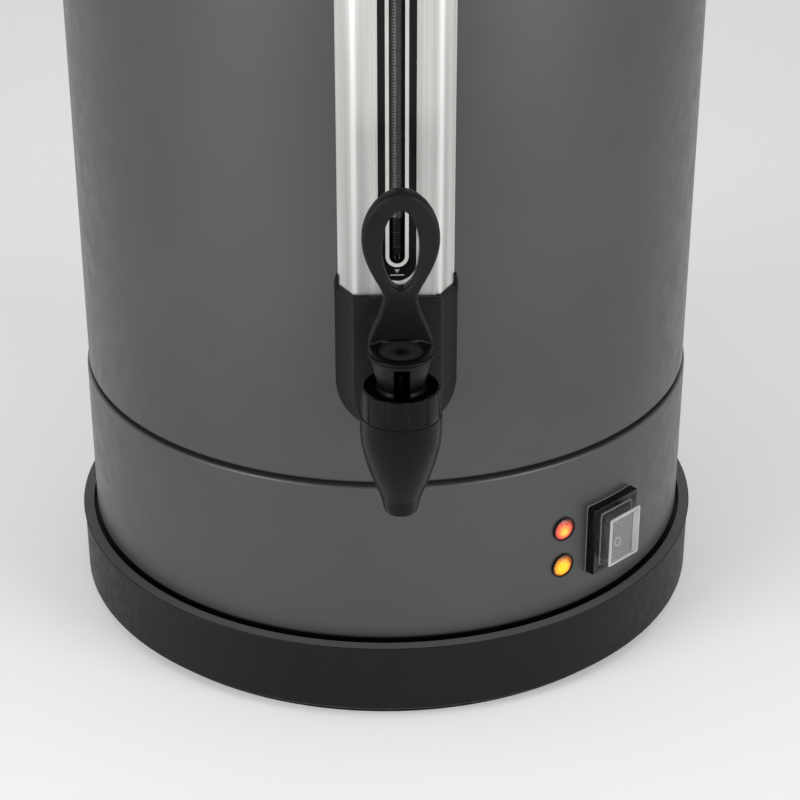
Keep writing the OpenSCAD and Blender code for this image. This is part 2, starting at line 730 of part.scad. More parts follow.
module wiring() {
    r = 1.2;
    live = path([behind_inlet(-7, -2.2, 0.6), behind_inlet(-7, -2.2, 14), duct(0.2, 0.64, 0.36),
        duct(0.413, 0.267, 0.267), duct(0.48, -0.053, 0.293), behind_switch(7, -7, 16),
        behind_switch(7, -7, 0.7)], 4);
    neutral = path([behind_inlet(7, -2.2, 0.6), behind_inlet(7, -2.2, 10), duct(0, 0.693, 0.267),
        duct(0.04, 0.64, 0.093), way(0, true) + [0, 8, 0], way(0, true)], 4);
    earth = path([behind_inlet(0, 3.4, 0.6), behind_inlet(0, 3.4, 16), duct(-0.053, 0.613, 0.333),
        duct(-0.107, 0.56, 0.147), duct(-0.12, 0.533, 0.085)], 4);
    feed = path([behind_switch(-7, -7, 0.7), behind_switch(-7, -7, 14), duct(0.347, -0.133, 0.213),
        duct(0.227, 0.133, 0.107), way(1, false) - [0, 13.7, 0], way(1, false)], 4);
    lamp_red = path([behind_lamp(1, 0, 0.7), behind_lamp(1, 0, 14), duct(0.293, -0.253, 0.32),
        duct(0.293, 0.133, 0.133), way(2, false) - [0, 13.7, 0], way(2, false)], 4);
    lamp_amber = path([behind_lamp(-1, 0, 0.7), behind_lamp(-1, 0, 12), duct(0.36, -0.293, 0.227),
        duct(0.387, 0.093, 0.107), way(3, false) - [0, 13.7, 0], way(3, false)], 4);
    heat_a = path([way(1, true), way(1, true) + [0, 11.7, 1], duct(0.253, 0.627, 0.333),
        over_shield(0.253, 0.587, 3), over_shield(0.2, 0.48, 5), over_shield(0.16, 0.24, 3.8),
        at_post(0, [24, 36])], 4);
    heat_b = path([way(2, true), way(2, true) + [0, 11.7, 1], duct(0.287, 0.607, 0.333),
        over_shield(0.287, 0.573, 3), over_shield(0.267, 0.413, 5), over_shield(0.253, 0.093, 3.8),
        at_post(1, [38, 14])], 4);
    color("#8a2b1e") {
        tube_sweep(live, r);
        tube_sweep(neutral, r);
        tube_sweep(earth, r);
        tube_sweep(feed, r);
        tube_sweep(lamp_red, r);
        tube_sweep(lamp_amber, r);
        tube_sweep(heat_a, r);
        tube_sweep(heat_b, r);
    }
}

// ---- Heating ----

post_r = 2;
post_h = 4.5;
function heater_post(i) = let (a = [50, 10][i]) 14 * [cos(a), sin(a), 0];

module well_heater() {
    z0 = well_floor_z - heater_h;
    color("#9a9a96") {
        difference() {
            translate([0, 0, z0]) cylinder(r = heater_r, h = heater_h);
            translate([0, 0, z0 - eps]) cylinder(r = 4, h = 3);
        }
        for (i = [0, 1]) translate([heater_post(i)[0], heater_post(i)[1], z0 - post_h])
            cylinder(r = post_r, h = post_h + eps);
    }
}

module warm_heater() {
    r = 3.5;
    gap = 8;
    color("#55544f") translate([0, 0, tank_floor_z - r - slip]) difference() {
        rotate_extrude() translate([warm_r, 0]) circle(r);
        translate([-gap / 2, warm_r - 2 * r, -r - 1]) cube([gap, 4 * r, 2 * r + 2]);
    }
}

module thermostat() {
    color("#d8d4c8") translate([46, -34, tank_floor_z]) {
        translate([0, 0, -9]) cylinder(r = 12, h = 9);
        translate([0, 0, -14]) cylinder(r = 9, h = 5 + eps);
    }
}

module cutout() {
    color("#d8d4c8") translate([reset_xy[0], reset_xy[1], foot_h]) difference() {
        translate([-15, -12, 0]) cube([30, 24, cutout_h]);
        translate([0, 0, -eps]) cylinder(r = reset_r + 2.2, h = 16);
    }
}

// The sensing bulb under the tank and the thin pipe down to the cut-out
module cutout_capillary() {
    x = reset_xy[0];
    y = reset_xy[1] + 20;
    bulb_z = tank_floor_z - 3 - slip;
    color("#b87333") {
        translate([x + 6, y + 10, bulb_z]) rotate([0, 90, 0]) cylinder(r = 3, h = 40);
        tube_sweep(path([[x, reset_xy[1] + 4, foot_h + cutout_h + 0.5],
            [x, reset_xy[1] + 5, foot_h + cutout_h + 12],
            [x, y, shield_z - 20], [x, y, shield_z + 4], [x - 1, y + 6, shield_z + 13],
            [x + 1, y + 10, bulb_z - 1], [x + 5.7, y + 10, bulb_z]], 3), 0.9);
    }
}

module reset_button() {
    color("#b02020") translate([reset_xy[0], reset_xy[1], 0]) {
        translate([0, 0, foot_h - plate_t - 1]) cylinder(r = reset_r, h = 13);
        translate([0, 0, foot_h + seat]) cylinder(r = reset_r + 1.8, h = 2);
    }
}

// ---- Shell, tank and rim ----

module outer_shell() {
    r = shell_edge;
    color("#585858") difference() {
        rotate_extrude() polygon(concat(
            [[flange_r, shell_bottom]],
            arc([body_r - r, shell_bottom + r], r, -90, 0),
            [[body_r, shell_top_z], [shell_in, shell_top_z]],
            arc([body_r - r, shell_bottom + r], r - sheet_t, 0, -90),
            [[flange_r, shell_bottom + sheet_t]]
        ));
        translate([0, 0, tap_z]) bar(shank_r + 0.4, body_r - 8, body_r + 4);
        translate([0, 0, cap_z + 12]) bar(1.7, body_r - 8, body_r + 4);
        for (s = [-1, 1], y = [-1, 1]) at(s * 90, grip_z) translate([y * post_y, 0, 0])
            bar(2.3, body_r - 20, body_r + 4);
        for (i = [0:3]) rotate([0, 0, 90 * i + 45]) translate([flange_r + 3.5, 0, shell_bottom - 3])
            cylinder(r = 2.6, h = 6);
    }
}

module inner_tank() {
    c = tank_corner;
    t = tank_t;
    z = tank_floor_z;
    w = 3;
    color("#c4c4c0") difference() {
        rotate_extrude() polygon(concat(
            [[0, well_floor_z]],
            arc([well_r - w, well_floor_z + w], w, -90, 0, 5),
            [[well_r, z]],
            arc([tank_r - c, z + c], c, -90, 0, 6),
            [[tank_r, shell_top_z], [body_r, shell_top_z], [body_r, mouth_z], [tank_in, mouth_z]],
            arc([tank_r - c, z + c], c - t, 0, -90, 6),
            [[well_r - t, z + t]],
            arc([well_r - w, well_floor_z + w], w - t, 0, -90, 5),
            [[0, well_floor_z + t]]
        ));
        translate([0, 0, tap_z]) bar(shank_r + 0.4, tank_in - 8, tank_r + 6);
    }
}

module rim_ring() {
    r0 = body_r + slip;
    r1 = r0 + 1.4;
    b = 1.6;
    color("#cfcfcc") rotate_extrude() polygon(concat(
        [[r0, shell_top_z - rim_skirt], [r1, shell_top_z - rim_skirt]],
        arc([r1 - b, rim_top - b], b, 0, 90, 5),
        arc([tank_in + 1, rim_top - 1], 1, 90, 180, 4),
        [[tank_in, mouth_z], [r0, mouth_z]]
    ));
}

// ---- Side handles ----

// A bail: two posts, two bends and the grip between them
module side_handle() {
    straight = grip_p - grip_bend;
    translate([0, 0, grip_z]) difference() {
        union() {
            for (s = [-1, 1]) {
                translate([s * post_y, 0, 0]) bar(grip_r, pad_p + 3, straight);
                translate([s * post_y, 0, 0]) bar(grip_r + 3, pad_p, pad_p + 5);
                translate([s * (post_y - grip_bend), -straight, 0]) rotate([0, 0, s > 0 ? -90 : 180])
                    rotate_extrude(angle = 90) translate([grip_bend, 0]) circle(grip_r);
            }
            translate([0, -grip_p, 0]) cross_bar(grip_r, post_y - grip_bend);
        }
        for (s = [-1, 1]) translate([s * post_y, 0, 0]) bar(2 + fit, pad_p - 1, pad_p + 22);
    }
}
module handle_left() { color("#1b1b1b") at(-90) side_handle(); }
module handle_right() { color("#1b1b1b") at(90) side_handle(); }

module handle_pads() {
    color("#101010") for (s = [-1, 1], y = [-1, 1]) at(s * 90, grip_z) difference() {
        translate([y * post_y, 0, 0]) bar(grip_r + 3, pad_p - 16, pad_p);
        core(body_r + slip, -2 * grip_r, 2 * grip_r);
        translate([y * post_y, 0, 0]) bar(2.3, pad_p - 20, pad_p + 1);
    }
}

module handle_screws() {
    head_p = sqrt(shell_in * shell_in - (post_y + 4) * (post_y + 4)) - 0.3;
    color("silver") for (s = [-1, 1], y = [-1, 1]) at(s * 90, grip_z) translate([y * post_y, 0, 0]) {
        bar(2, head_p, pad_p + grip_screw_l);
        bar(3.8, head_p - 2.2, head_p + eps);
    }
}

// ---- Sight gauge ----

// Plan of the guard, taken in by a wall thickness
module guard_plan(t, rear) {
    dx = t * sqrt(1 + guard_slope * guard_slope);
    front = guard_p - t;
    hw = guard_rear_hw - dx - guard_slope * (front - guard_rear_p);
    rear_hw = guard_rear_hw - dx + guard_slope * (guard_rear_p - rear);
    polygon([[-rear_hw, -rear], [-hw, -front], [hw, -front], [rear_hw, -rear]]);
}

module gauge_guard() {
    hem = 0.5;
    rear = guard_rear_p - 3;
    color("#c8c8c6") difference() {
        union() {
            translate([0, 0, guard_z0]) linear_extrude(guard_len) difference() {
                guard_plan(0, rear);
                guard_plan(guard_t, rear - 1);
            }
            outward(guard_p - eps, guard_p + hem)
                stadium(slot_w + 2 * hem_w, slot_z0 - hem_w, slot_z1 + hem_w);
        }
        core(body_r + slip, guard_z0 - 1, guard_z1 + 1);
        outward(guard_p - 4, guard_p + 4) stadium(slot_w, slot_z0, slot_z1);
    }
}

module gauge_window() {
    margin = 5;
    z0 = slot_z0 + window_margin;
    z1 = slot_z1 - window_margin;
    hw = guard_front_hw - guard_t - 0.6;
    color("#0c0c0c") difference() {
        outward(window_rear_p, guard_p - guard_t)
            translate([-hw, guard_z0 + margin]) square([2 * hw, guard_len - 2 * margin]);
        outward(window_rear_p - 1, guard_p) stadium(window_w, z0, z1);
    }
}

module gauge_tube() {
    color("#d4e4e8", 0.5) translate([0, -tube_p, 0]) ring(tube_r - tube_wall, tube_r, tube_z0, tube_z1);
}

module tube_seals() {
    color("#e0e0dc") translate([0, -tube_p, 0]) {
        ring(tube_r + fit, socket_r - 0.75, tube_z0, union_top);
        ring(tube_r + fit, socket_r - 0.75, tube_z1 - 8, tube_z1);
    }
}

module gauge_union() {
    p1 = boot_p - boot_wall - 0.2 - 1;
    color("#bfa75a") difference() {
        union() {
            translate([0, 0, tap_z]) bar(union_r, body_r - 4, p1);
            translate([0, -tube_p, tap_z]) cylinder(r = socket_r, h = union_top - tap_z);
        }
        translate([0, 0, tap_z]) bar(shank_r + fit, body_r - 5, boot_p);
        core(body_r + slip, tap_z - 20, union_top + 1);
        translate([0, -tube_p, tap_z]) cylinder(r = tube_r - tube_wall, h = 40);
        translate([0, -tube_p, tube_z0]) cylinder(r = socket_r - 0.7, h = 40);
    }
}

// The closed form shared by the boot and the cap: a trapezoid block with a round, sloping end.
// end is the height of the round end's middle, flat the height of the open edge.
module boot_form(t, end, flat) {
    rear = guard_rear_p - 4;
    front = boot_p - t;
    grow = boot_wall - t;
    dx = grow * sqrt(1 + guard_slope * guard_slope);
    front_hw = guard_rear_hw + dx - guard_slope * (front - guard_rear_p);
    rear_hw = guard_rear_hw + dx + guard_slope * (guard_rear_p - rear);
    translate([0, 0, min(end, flat)]) linear_extrude(abs(flat - end))
        polygon([[-rear_hw, -rear], [-front_hw, -front], [front_hw, -front], [rear_hw, -rear]]);
    side = sign(end - flat);
    intersection() {
        translate([0, -rear, end]) rotate([90, 0, 0])
            cylinder(r1 = rear_hw, r2 = front_hw, h = front - rear);
        core(far, min(end - side, end + 60 * side), max(end - side, end + 60 * side));
    }
}

module gauge_boot() {
    step = 1.3;
    color("#1e1e1e") difference() {
        boot_form(0, boot_z, boot_top);
        boot_form(boot_wall - 0.1, boot_z, boot_top + 1);
        core(body_r + slip, boot_z - 40, boot_top + 1);
        translate([0, 0, tap_z]) bar(shank_r + 0.3, body_r - 5, boot_p + 5);
    }
    color("#1e1e1e") difference() {
        boot_form(boot_wall - 0.2, boot_z, guard_z0 - slip);
        boot_form(boot_wall + step, boot_z, guard_z0 + 1);
        core(body_r + slip, boot_z - 40, boot_top + 1);
        core(far, boot_z - 40, guard_z0 - 12);
    }
}

module gauge_cap() {
    socket_z0 = tube_z1 - 8 - fit;
    color("#1e1e1e") difference() {
        union() {
            difference() {
                boot_form(0, cap_z, cap_bottom);
                boot_form(boot_wall - 0.1, cap_z, cap_bottom - 1);
            }
            intersection() {
                boot_form(0.5, cap_z, cap_bottom);
                core(far, guard_z1 + slip, guard_z1 + 60);
                union() {
                    translate([0, -tube_p, socket_z0 + fit]) cylinder(r = socket_r + 0.7, h = 12);
                    core(far, cap_z + 16, cap_z + 40);
                    translate([0, 0, cap_z + 12]) bar(5, body_r - 5, boot_p);
                }
            }
        }
        core(body_r + slip, cap_z - 40, cap_z + 40);
        translate([0, -tube_p, cap_z - 10]) cylinder(r = tube_r + fit, h = tube_z1 - cap_z + 10 + fit);
        translate([0, -tube_p, socket_z0 - 5])
            cylinder(r = socket_r - 0.7, h = tube_z1 - socket_z0 + 5 + fit);
        translate([0, 0, cap_z + 12]) bar(1.7, body_r - 5, boot_p + 5);
    }
}

module cap_screw() {
    color("silver") translate([0, 0, cap_z + 12]) difference() {
        union() {
            bar(1.6, body_r - 6, boot_p + eps);
            bar(3.1, boot_p, boot_p + 1.6);
        }
        for (a = [0, 90]) rotate([0, a, 0]) translate([-2, -boot_p - 1.8, -0.35]) cube([4, 1.2, 0.7]);
    }
}

// ---- Tap ----

// Half outline of the tap's body, from the spout's mouth up to the bonnet
module tap_outline() {
    polygon(concat(
        [[0, spout_z], [6.6, spout_z]],
        bezier([6.9, spout_z + 0.3], [7.8, spout_z + 3], [8.1, spout_z + 6.5], [9.4, spout_z + 9.2], 6),
        bezier([10, spout_z + 10.7], [12.2, spout_z + 16], [15.2, spout_z + 24],
            [tap_r - 0.3, spout_z + 33.5], 10),
        [[tap_r, spout_z + 38], [tap_r, bonnet_z0], [neck_r, bonnet_z0], [neck_r, neck_top], [0, neck_top]]
    ));
}

module tap_body() {
    collar = 4;
    tank_end = tank_in - shank_inside;
    color("#232323") difference() {
        union() {
            translate([0, -tap_p, 0]) rotate_extrude() tap_outline();
            translate([0, 0, tap_z]) {
                bar(shank_r, tank_end, tap_p);
                bar(shank_r + 4, boot_p, boot_p + collar);
                bar(shank_r + 1.5, boot_p + collar - eps, tap_p);
            }
        }
        translate([0, -tap_p, 0]) {
            translate([0, 0, valve_z + 2.5]) cylinder(r = chamber_r, h = 60);
            translate([0, 0, valve_z]) cylinder(r1 = chamber_r - 2, r2 = chamber_r, h = 2.5 + eps);
            translate([0, 0, spout_z - 1]) cylinder(r = outlet_r, h = valve_z - spout_z + 2);
        }
        translate([0, 0, tap_z]) bar(shank_bore_r, tank_end - 1, tap_p - chamber_r / 2);
        translate([0, -tube_p, tap_z]) cylinder(r = 2.5, h = 20);
    }
}

module shank_washers() {
    p1 = boot_p - boot_wall - 0.2 - 1;
    color("#d8d8d4") translate([0, 0, tap_z]) {
        difference() {
            bar(union_r, p1, p1 + 1);
            bar(shank_r + fit, p1 - 1, p1 + 3);
        }
        difference() {
            intersection() {
                bar(shank_r + 6, tank_in - 3, tank_in);
                core(tank_in - slip, -20, 20);
            }
            bar(shank_r + fit, tank_in - 5, tank_in + 1);
        }
    }
}

module shank_spacer() {
    color("#2a2a2a") translate([0, 0, tap_z]) difference() {
        intersection() {
            bar(shank_r + 5, tank_r - 3, shell_in + 1);
            core(shell_in - slip, -20, 20);
        }
        bar(shank_r + 0.3, tank_r - 5, shell_in + 5);
        core(tank_r + slip, -20, 20);
    }
}

module shank_nut() {
    flats = 24;
    p1 = tank_in - 3;
    color("#c9a94f") translate([0, 0, tap_z]) difference() {
        translate([0, -(p1 - 8), 0]) rotate([90, 0, 0]) cylinder(r = flats / sqrt(3), h = 8, $fn = 6);
        bar(shank_r + fit, p1 - 10, p1 + 1);
    }
}

module tap_bonnet() {
    groove_r = 1.1;
    color("#242424") translate([0, -tap_p, 0]) difference() {
        rotate_extrude() polygon([
            [neck_r + fit, bonnet_z0], [tap_r - 0.2, bonnet_z0], [mouth_r + 0.9, bonnet_z1 - 0.3],
            [mouth_r + 0.5, bonnet_z1], [mouth_r, bonnet_z1], [mouth_r, floor_z], [stem_r + fit, floor_z],
            [stem_r + fit, neck_top], [neck_r + fit, neck_top]
        ]);
        for (i = [0:grip_count - 1]) rotate([0, 0, 7 + 360 * i / grip_count])
            translate([0, -(tap_r + 0.25), bonnet_z0 + 1]) rotate([-1.5, 0, 0])
                cylinder(r = groove_r, h = bonnet_h + 3);
    }
}

module tap_stem() {
    color("#d0d0cc") translate([0, -tap_p, 0]) difference() {
        translate([0, 0, valve_z + 1.2]) cylinder(r = stem_r, h = pin_z + 3.4 - valve_z - 1.2);
        translate([0, 0, pin_z]) cross_bar(pin_r + 0.02, stem_r + 1);
    }
}

module seat_cup() {
    z0 = valve_z + 0.1;
    color("#e6e6e2") translate([0, -tap_p, 0]) rotate_extrude() polygon([
        [0, z0], [6.4, z0], [7.2, z0 + 0.9], [7.2, z0 + 2.6], [4.6, z0 + 5], [4.4, z0 + 8],
        [stem_r + 0.02, z0 + 8], [stem_r + 0.02, z0 + 1], [0, z0 + 1]
    ]);
}

module tap_spring() {
    turns = 6;
    steps = 16;
    wire = 0.6;
    z0 = valve_z + 5.8;
    z1 = neck_top - wire - 0.1;
    color("#b0b0ac") translate([0, -tap_p, 0]) tube_sweep([
        for (i = [0:turns * steps]) let (a = 360 * i / steps)
            [6 * cos(a), 6 * sin(a), z0 + (z1 - z0) * i / (turns * steps)]
    ], wire);
}

module handle_pin() {
    color("silver") translate([0, -tap_p, pin_z]) cross_bar(pin_r, pin_half);
}

// The side of the bowl that rolls on the bonnet's floor: its reach grows evenly with the tilt
function cam_point(a) = let (h = cam_rest + lift_per_rad * a * PI / 180)
    [-h * sin(a) - lift_per_rad * cos(a), -h * cos(a) + lift_per_rad * sin(a)];

module cam_outline() {
    back = 7.5;
    polygon(concat(
        [for (i = [0:20]) cam_point(80 - 4 * i)],
        [[3, -cam_rest], [back, -cam_rest + 2.5], [back + 9, 4], [back + 9, disc_rise - 1],
         [-25, disc_rise - 1], [-25, cam_point(80)[1]]]
    ));
}

// Front outline of the handle's plate above the pin
module lever_outline() {
    base = 10;
    flare = [13.35, 12.5];
    neck = [neck_hw, 36.3];
    wide = [loop_hw, 63];
    half = concat(
        [[flare[0] - 0.4, base]],
        bezier(flare, [flare[0] - 0.1, 20], [neck_hw + 0.3, 27.5], neck),
        bezier(neck, [neck_hw + 0.1, 41.5], [loop_hw - 0.1, 50], wide),
        bezier(wide, [loop_hw, loop_top - 11], [loop_hw * 0.53, loop_top], [0, loop_top])
    );
    hole_z = 58.2;
    hole_up = loop_top - 7.7 - hole_z;
    hole_down = 18.4;
    difference() {
        polygon(concat(half, [for (i = [len(half) - 2:-1:0]) [-half[i][0], half[i][1]]]));
        polygon([for (i = [0:47]) let (a = 7.5 * i)
            [hole_hw * cos(a), hole_z + (sin(a) > 0 ? hole_up : hole_down) * sin(a)]]);
    }
}

module tap_handle() {
    rim = disc_rise;
    plate_back = 12.4;
    bowl_r = norm([cam_point(tilt_max)[0], lever_slot_hw]) + 0.15;
    scoop_r = 20.2;
    scoop_depth = 8.8;
    scoop_lean = lever_lean + 8.7;
    color("#161616") translate([0, -tap_p, pin_z]) difference() {
        union() {
            intersection() {
                rotate_extrude() polygon([
                    [0, -12], [bowl_r, -12], [bowl_r, -3], [bowl_r - 0.7, -1.2], [12, rim - 5.2], [12, rim],
                    [0, rim]
                ]);
                rotate([90, 0, 90]) translate([0, 0, -20]) linear_extrude(40) cam_outline();
            }
            rotate_extrude() polygon(concat(
                [[0, rim - 5.6], [11.9, rim - 5.2], [disc_r - 0.8, rim - 1.6]],
                arc([disc_r - 0.8, rim - 0.8], 0.8, -60, 90, 5),
                [[9.8, rim + 0.2], [9, rim - 1.4], [5, rim - 2.6], [3, rim - 2.4], [1.6, rim - 1.7],
                 [0, rim - 1.5]]
            ));
            difference() {
                translate([0, plate_back, 0]) rotate([lever_lean, 0, 0]) outward(0, lever_t) lever_outline();
                translate([0, scoop_depth - scoop_r / cos(scoop_lean), rim]) rotate([scoop_lean, 0, 0])
                    translate([0, 0, -10]) cylinder(r = scoop_r, h = 60);
            }
        }
        cross_bar(pin_r + 0.03, 20);
        rotate([90, 0, 90]) translate([0, 0, -lever_slot_hw]) linear_extrude(2 * lever_slot_hw) {
            circle(stem_r + 2);
            polygon([[-30, -20], [stem_r + 0.3, -20], [stem_r + 0.3, 0], [-stem_r, rim - 4.9],
                [-stem_r - 1, rim - 3.9],
                [-30, rim - 3.9]]);
        }
    }
}

// ---- Lid ----

module lid() {
    n = 16;
    edge = 0.6;
    outer = [for (i = [0:n]) let (r = dome_r0 * (1 - i / n)) [r, dome_z(r)]];
    inner = [for (i = [n:-1:0]) let (r = dome_r0 * (1 - i / n)) [r, dome_z(r) - lid_t]];
    color("#5a5a5a") difference() {
        rotate_extrude() polygon(concat(
            [[lid_r - edge, lid_z]],
            arc([lid_r - edge, lid_z + edge], edge, -90, 90, 6),
            outer, inner,
            [[dome_r0 - 2, lid_z]]
        ));
        translate([0, 0, dome_z1 - 10]) cylinder(r = 2.7, h = 20);
        translate([0, 64, dome_z1 - 20]) cylinder(r = 2.2, h = 40);
    }
}

// Ring welded under the lid that centres it in the tank's mouth
module lid_skirt() {
    color("#c6c6c2") rotate_extrude() polygon([
        [skirt_r - lid_t, lid_z - lid_drop], [skirt_r, lid_z - lid_drop],
        [skirt_r, dome_z(skirt_r) - lid_t - fit], [skirt_r - lid_t, dome_z(skirt_r) - lid_t - fit]
    ]);
}

module lid_knob() {
    z = dome_z1;
    color("#181818") difference() {
        translate([0, 0, z]) rotate_extrude() polygon(concat(
            [[0, 0], [14, 0]],
            bezier([14, 1], [9, 5], [8.6, 9], [9.4, knob_h * 0.5]),
            bezier([knob_r - 5, knob_h * 0.62], [knob_r + 2, knob_h * 0.7], [knob_r, knob_h * 0.96],
                [knob_r - 8, knob_h]),
            [[0, knob_h]]
        ));
        translate([0, 0, z - eps]) cylinder(r = 2.5 + fit, h = 18);
    }
}

module knob_screw() {
    head_r = 4.6;
    z = dome_z(head_r) - lid_t - 0.05;
    color("silver") {
        translate([0, 0, z - 2.6]) cylinder(r = head_r, h = 2.6);
        translate([0, 0, z - eps]) cylinder(r = 2.5, h = lid_t + 14);
    }
}

// ---- Percolator ----

module pump_tube() {
    foot_r = well_r - 5;
    foot_h = 20;
    t = 1;
    stop_z = basket_z0 - seat;
    color("#c6c6c2") {
        ring(pump_r - t, pump_r, pump_z0 + foot_h - 1, pump_top);
        ring(pump_r - eps, pump_r + 4, stop_z - 2, stop_z);
        difference() {
            rotate_extrude() polygon([
                [foot_r - t, pump_z0], [foot_r, pump_z0], [foot_r, pump_z0 + 4], [pump_r, pump_z0 + foot_h],
                [pump_r - t, pump_z0 + foot_h], [pump_r - t, pump_z0 + foot_h - 1], [foot_r - t, pump_z0 + 3.6]
            ]);
            for (a = [0:60:300]) rotate([0, 0, a]) translate([foot_r - 3, -1.5, pump_z0 - 1])
                cube([6, 3, 3]);
        }
    }
}

module coffee_basket() {
    t = basket_t;
    z0 = basket_z0;
    color("#c6c6c2") difference() {
        rotate_extrude() polygon([
            [sleeve_in, z0], [basket_r - 3, z0], [basket_r, z0 + 3], [basket_r, z0 + basket_h - t],
            [basket_r + 2, z0 + basket_h - t], [basket_r + 2, z0 + basket_h], [basket_r - t, z0 + basket_h],
            [basket_r - t, z0 + 3.4], [basket_r - 3.4, z0 + t], [sleeve_out, z0 + t],
            [sleeve_out, z0 + basket_h - 3], [sleeve_in, z0 + basket_h - 3]
        ]);
        for (row = [0:basket_rows - 1]) let (r = basket_r * (row + 1) / (basket_rows + 1), n = 6 * (row + 1))
            for (i = [0:n - 1]) rotate([0, 0, 360 * i / n]) translate([r, 0, z0 - 1])
                cylinder(r = 1.6, h = 3);
    }
}

module basket_cover() {
    z = cover_z0;
    t = 0.8;
    color("#cfcfcb") difference() {
        rotate_extrude() polygon([
            [sleeve_in, z + 4], [20, z + 4], [basket_r - 8, z], [basket_r + 2.5, z], [basket_r + 2.5, z + t + 1.5],
            [basket_r + 1.7, z + t + 1.5], [basket_r + 1.7, z + t], [basket_r - 8, z + t], [20, z + 4 + t],
            [sleeve_in + t, z + 4 + t], [sleeve_in + t, z + 8], [sleeve_in, z + 8]
        ]);
        for (row = [1:2]) for (i = [0:8 * row - 1]) rotate([0, 0, 45 * i / row])
            translate([14 + 22 * row, 0, z - 1]) cylinder(r = 2, h = 8);
    }
}

foot_ring();
base_ring();
base_trim();
base_plate();
base_plate_screws();
base_band();
seam_gasket();
heat_shield();
heat_shield_screws();
switch_body();
switch_rocker();
switch_cover();
switch_terminals();
lamp_holders();
lamp_bulbs();
red_lamp_lens();
amber_lamp_lens();
power_inlet();
inlet_pins();
inlet_screws();
terminal_block();
wiring();
well_heater();
warm_heater();
thermostat();
cutout();
cutout_capillary();
reset_button();
outer_shell();
inner_tank();
rim_ring();
handle_left();
handle_right();
handle_pads();
handle_screws();
gauge_guard();
gauge_window();
gauge_tube();
tube_seals();
gauge_union();
gauge_boot();
gauge_cap();
cap_screw();
tap_body();
shank_washers();
shank_spacer();
shank_nut();
tap_bonnet();
tap_stem();
seat_cup();
tap_spring();
handle_pin();
tap_handle();
lid();
lid_skirt();
lid_knob();
knob_screw();
pump_tube();
coffee_basket();
basket_cover();
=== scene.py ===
import json
import math

import bmesh
import bpy
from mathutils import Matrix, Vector


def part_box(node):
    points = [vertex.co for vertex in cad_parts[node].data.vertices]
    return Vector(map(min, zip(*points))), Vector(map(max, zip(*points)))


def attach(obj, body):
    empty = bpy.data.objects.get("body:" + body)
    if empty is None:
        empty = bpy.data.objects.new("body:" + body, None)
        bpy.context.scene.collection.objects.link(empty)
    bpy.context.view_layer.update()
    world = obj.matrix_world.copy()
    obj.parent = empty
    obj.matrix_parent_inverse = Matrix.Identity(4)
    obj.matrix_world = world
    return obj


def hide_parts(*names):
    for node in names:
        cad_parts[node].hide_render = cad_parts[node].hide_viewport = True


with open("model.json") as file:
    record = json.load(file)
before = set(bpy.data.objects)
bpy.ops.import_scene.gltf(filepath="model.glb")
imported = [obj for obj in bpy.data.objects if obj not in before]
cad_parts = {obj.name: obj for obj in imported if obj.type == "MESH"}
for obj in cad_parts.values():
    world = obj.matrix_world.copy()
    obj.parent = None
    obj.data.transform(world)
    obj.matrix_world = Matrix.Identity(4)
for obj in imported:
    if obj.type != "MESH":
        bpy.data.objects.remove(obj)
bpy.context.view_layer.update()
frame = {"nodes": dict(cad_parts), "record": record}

MM = 0.001


# ---------------------------------------------------------------- camera

def place_camera():
    camera = bpy.data.cameras.new("viewpoint")
    camera.lens = 97.2
    camera.sensor_width = 36
    eye = bpy.data.objects.new("viewpoint", camera)
    bpy.context.collection.objects.link(eye)
    eye.location = (-0.0292, -0.99035, 0.60334)
    eye.rotation_euler = (math.radians(62.5), 0, math.radians(-2.1))
    bpy.context.scene.camera = eye


place_camera()


# ---------------------------------------------------------------- the urn's measures, in millimetres
# A reach is a distance from the urn's axis towards the front.

BAND_R = 151.0                      # face of the base band
GUARD_P = 162.0                     # reach of the gauge cover's flat front
GUARD_BEND = 1.8                    # radius of the bends beside it
EAR_Z = 221.3                       # where the cover's edge enters the gauge foot
EAR_P = 147.9                       # reach of the gauge foot's rear corners
BOOT_P = 163.7                      # reach of the gauge foot's front
BOOT_BEND = 3.2                     # radius of the bends beside it
TAP_P = 205.0                       # reach of the tap's axis
DISC_Z = 217.2                      # rim of the lever's disc
CUP_Z = 201.5                       # foot of the cup under the disc
LEDGE_LIP_R = 157.8                 # outer edge of the painted ledge
LEDGE_Z = 40.0                      # height of the ledge
LEVER_Z = (218.0, 226.0)            # where the lever's edges begin to be softer, and are softest
WINDOW_Z = (235.9, 369.1)           # ends of the clear slot inside the white line
WINDOW_W = 6.6                      # width of that slot
WINDOW_FRONT = 161.2                # reach of the printed face
LINE_W = 1.55                       # width of the white line
PRINT = 0.06                        # thickness of printing
LOW_Z = 230.4                       # foot of the low level mark
TUBE_P = 155.7                      # reach of the gauge tube's axis
TUBE_R = 4.0
TUBE_WALL = 1.0
COFFEE_Z = 256.0                    # level of the coffee in the tube
STRIPE_LOW, STRIPE_TOP = 239.0, 367.0
TICK_PITCH = 1.32
TICK_Z0 = 242.8                     # lowest mark of the scale
TICKS_FINE, TICKS_COARSE = 93, 19   # a coarse mark at every fifth fine one
SWITCH_AZ = 42.6                    # angle of the switch around the urn
SWITCH_Z = 74.6
SWITCH_FRONT = 155.3                # reach of the switch frame's front
FRAME_W, FRAME_H = 30.2, 35.4
COVER_W, COVER_H = 22.4, 28.0       # foot of the splash cover
COVER_RISE = 6.0                    # how far it stands out
SIDE_SEEN = 3.6                     # width of its far side as seen through the front
ROCKER_PIVOT = 148.8                # reach of the rocker's axis
ROCKER_FACE = 7.2                   # from that axis to the middle of the rocker's face
ROCKER_TILT = -6.0                  # its rest pose, in degrees
LAMP_AZ = 31.4                      # angle of the lamps around the urn
LAMP_Z = (85.5, 65.7)
LENS_SPAN = 6.0                     # distance over which a lens goes through its tones


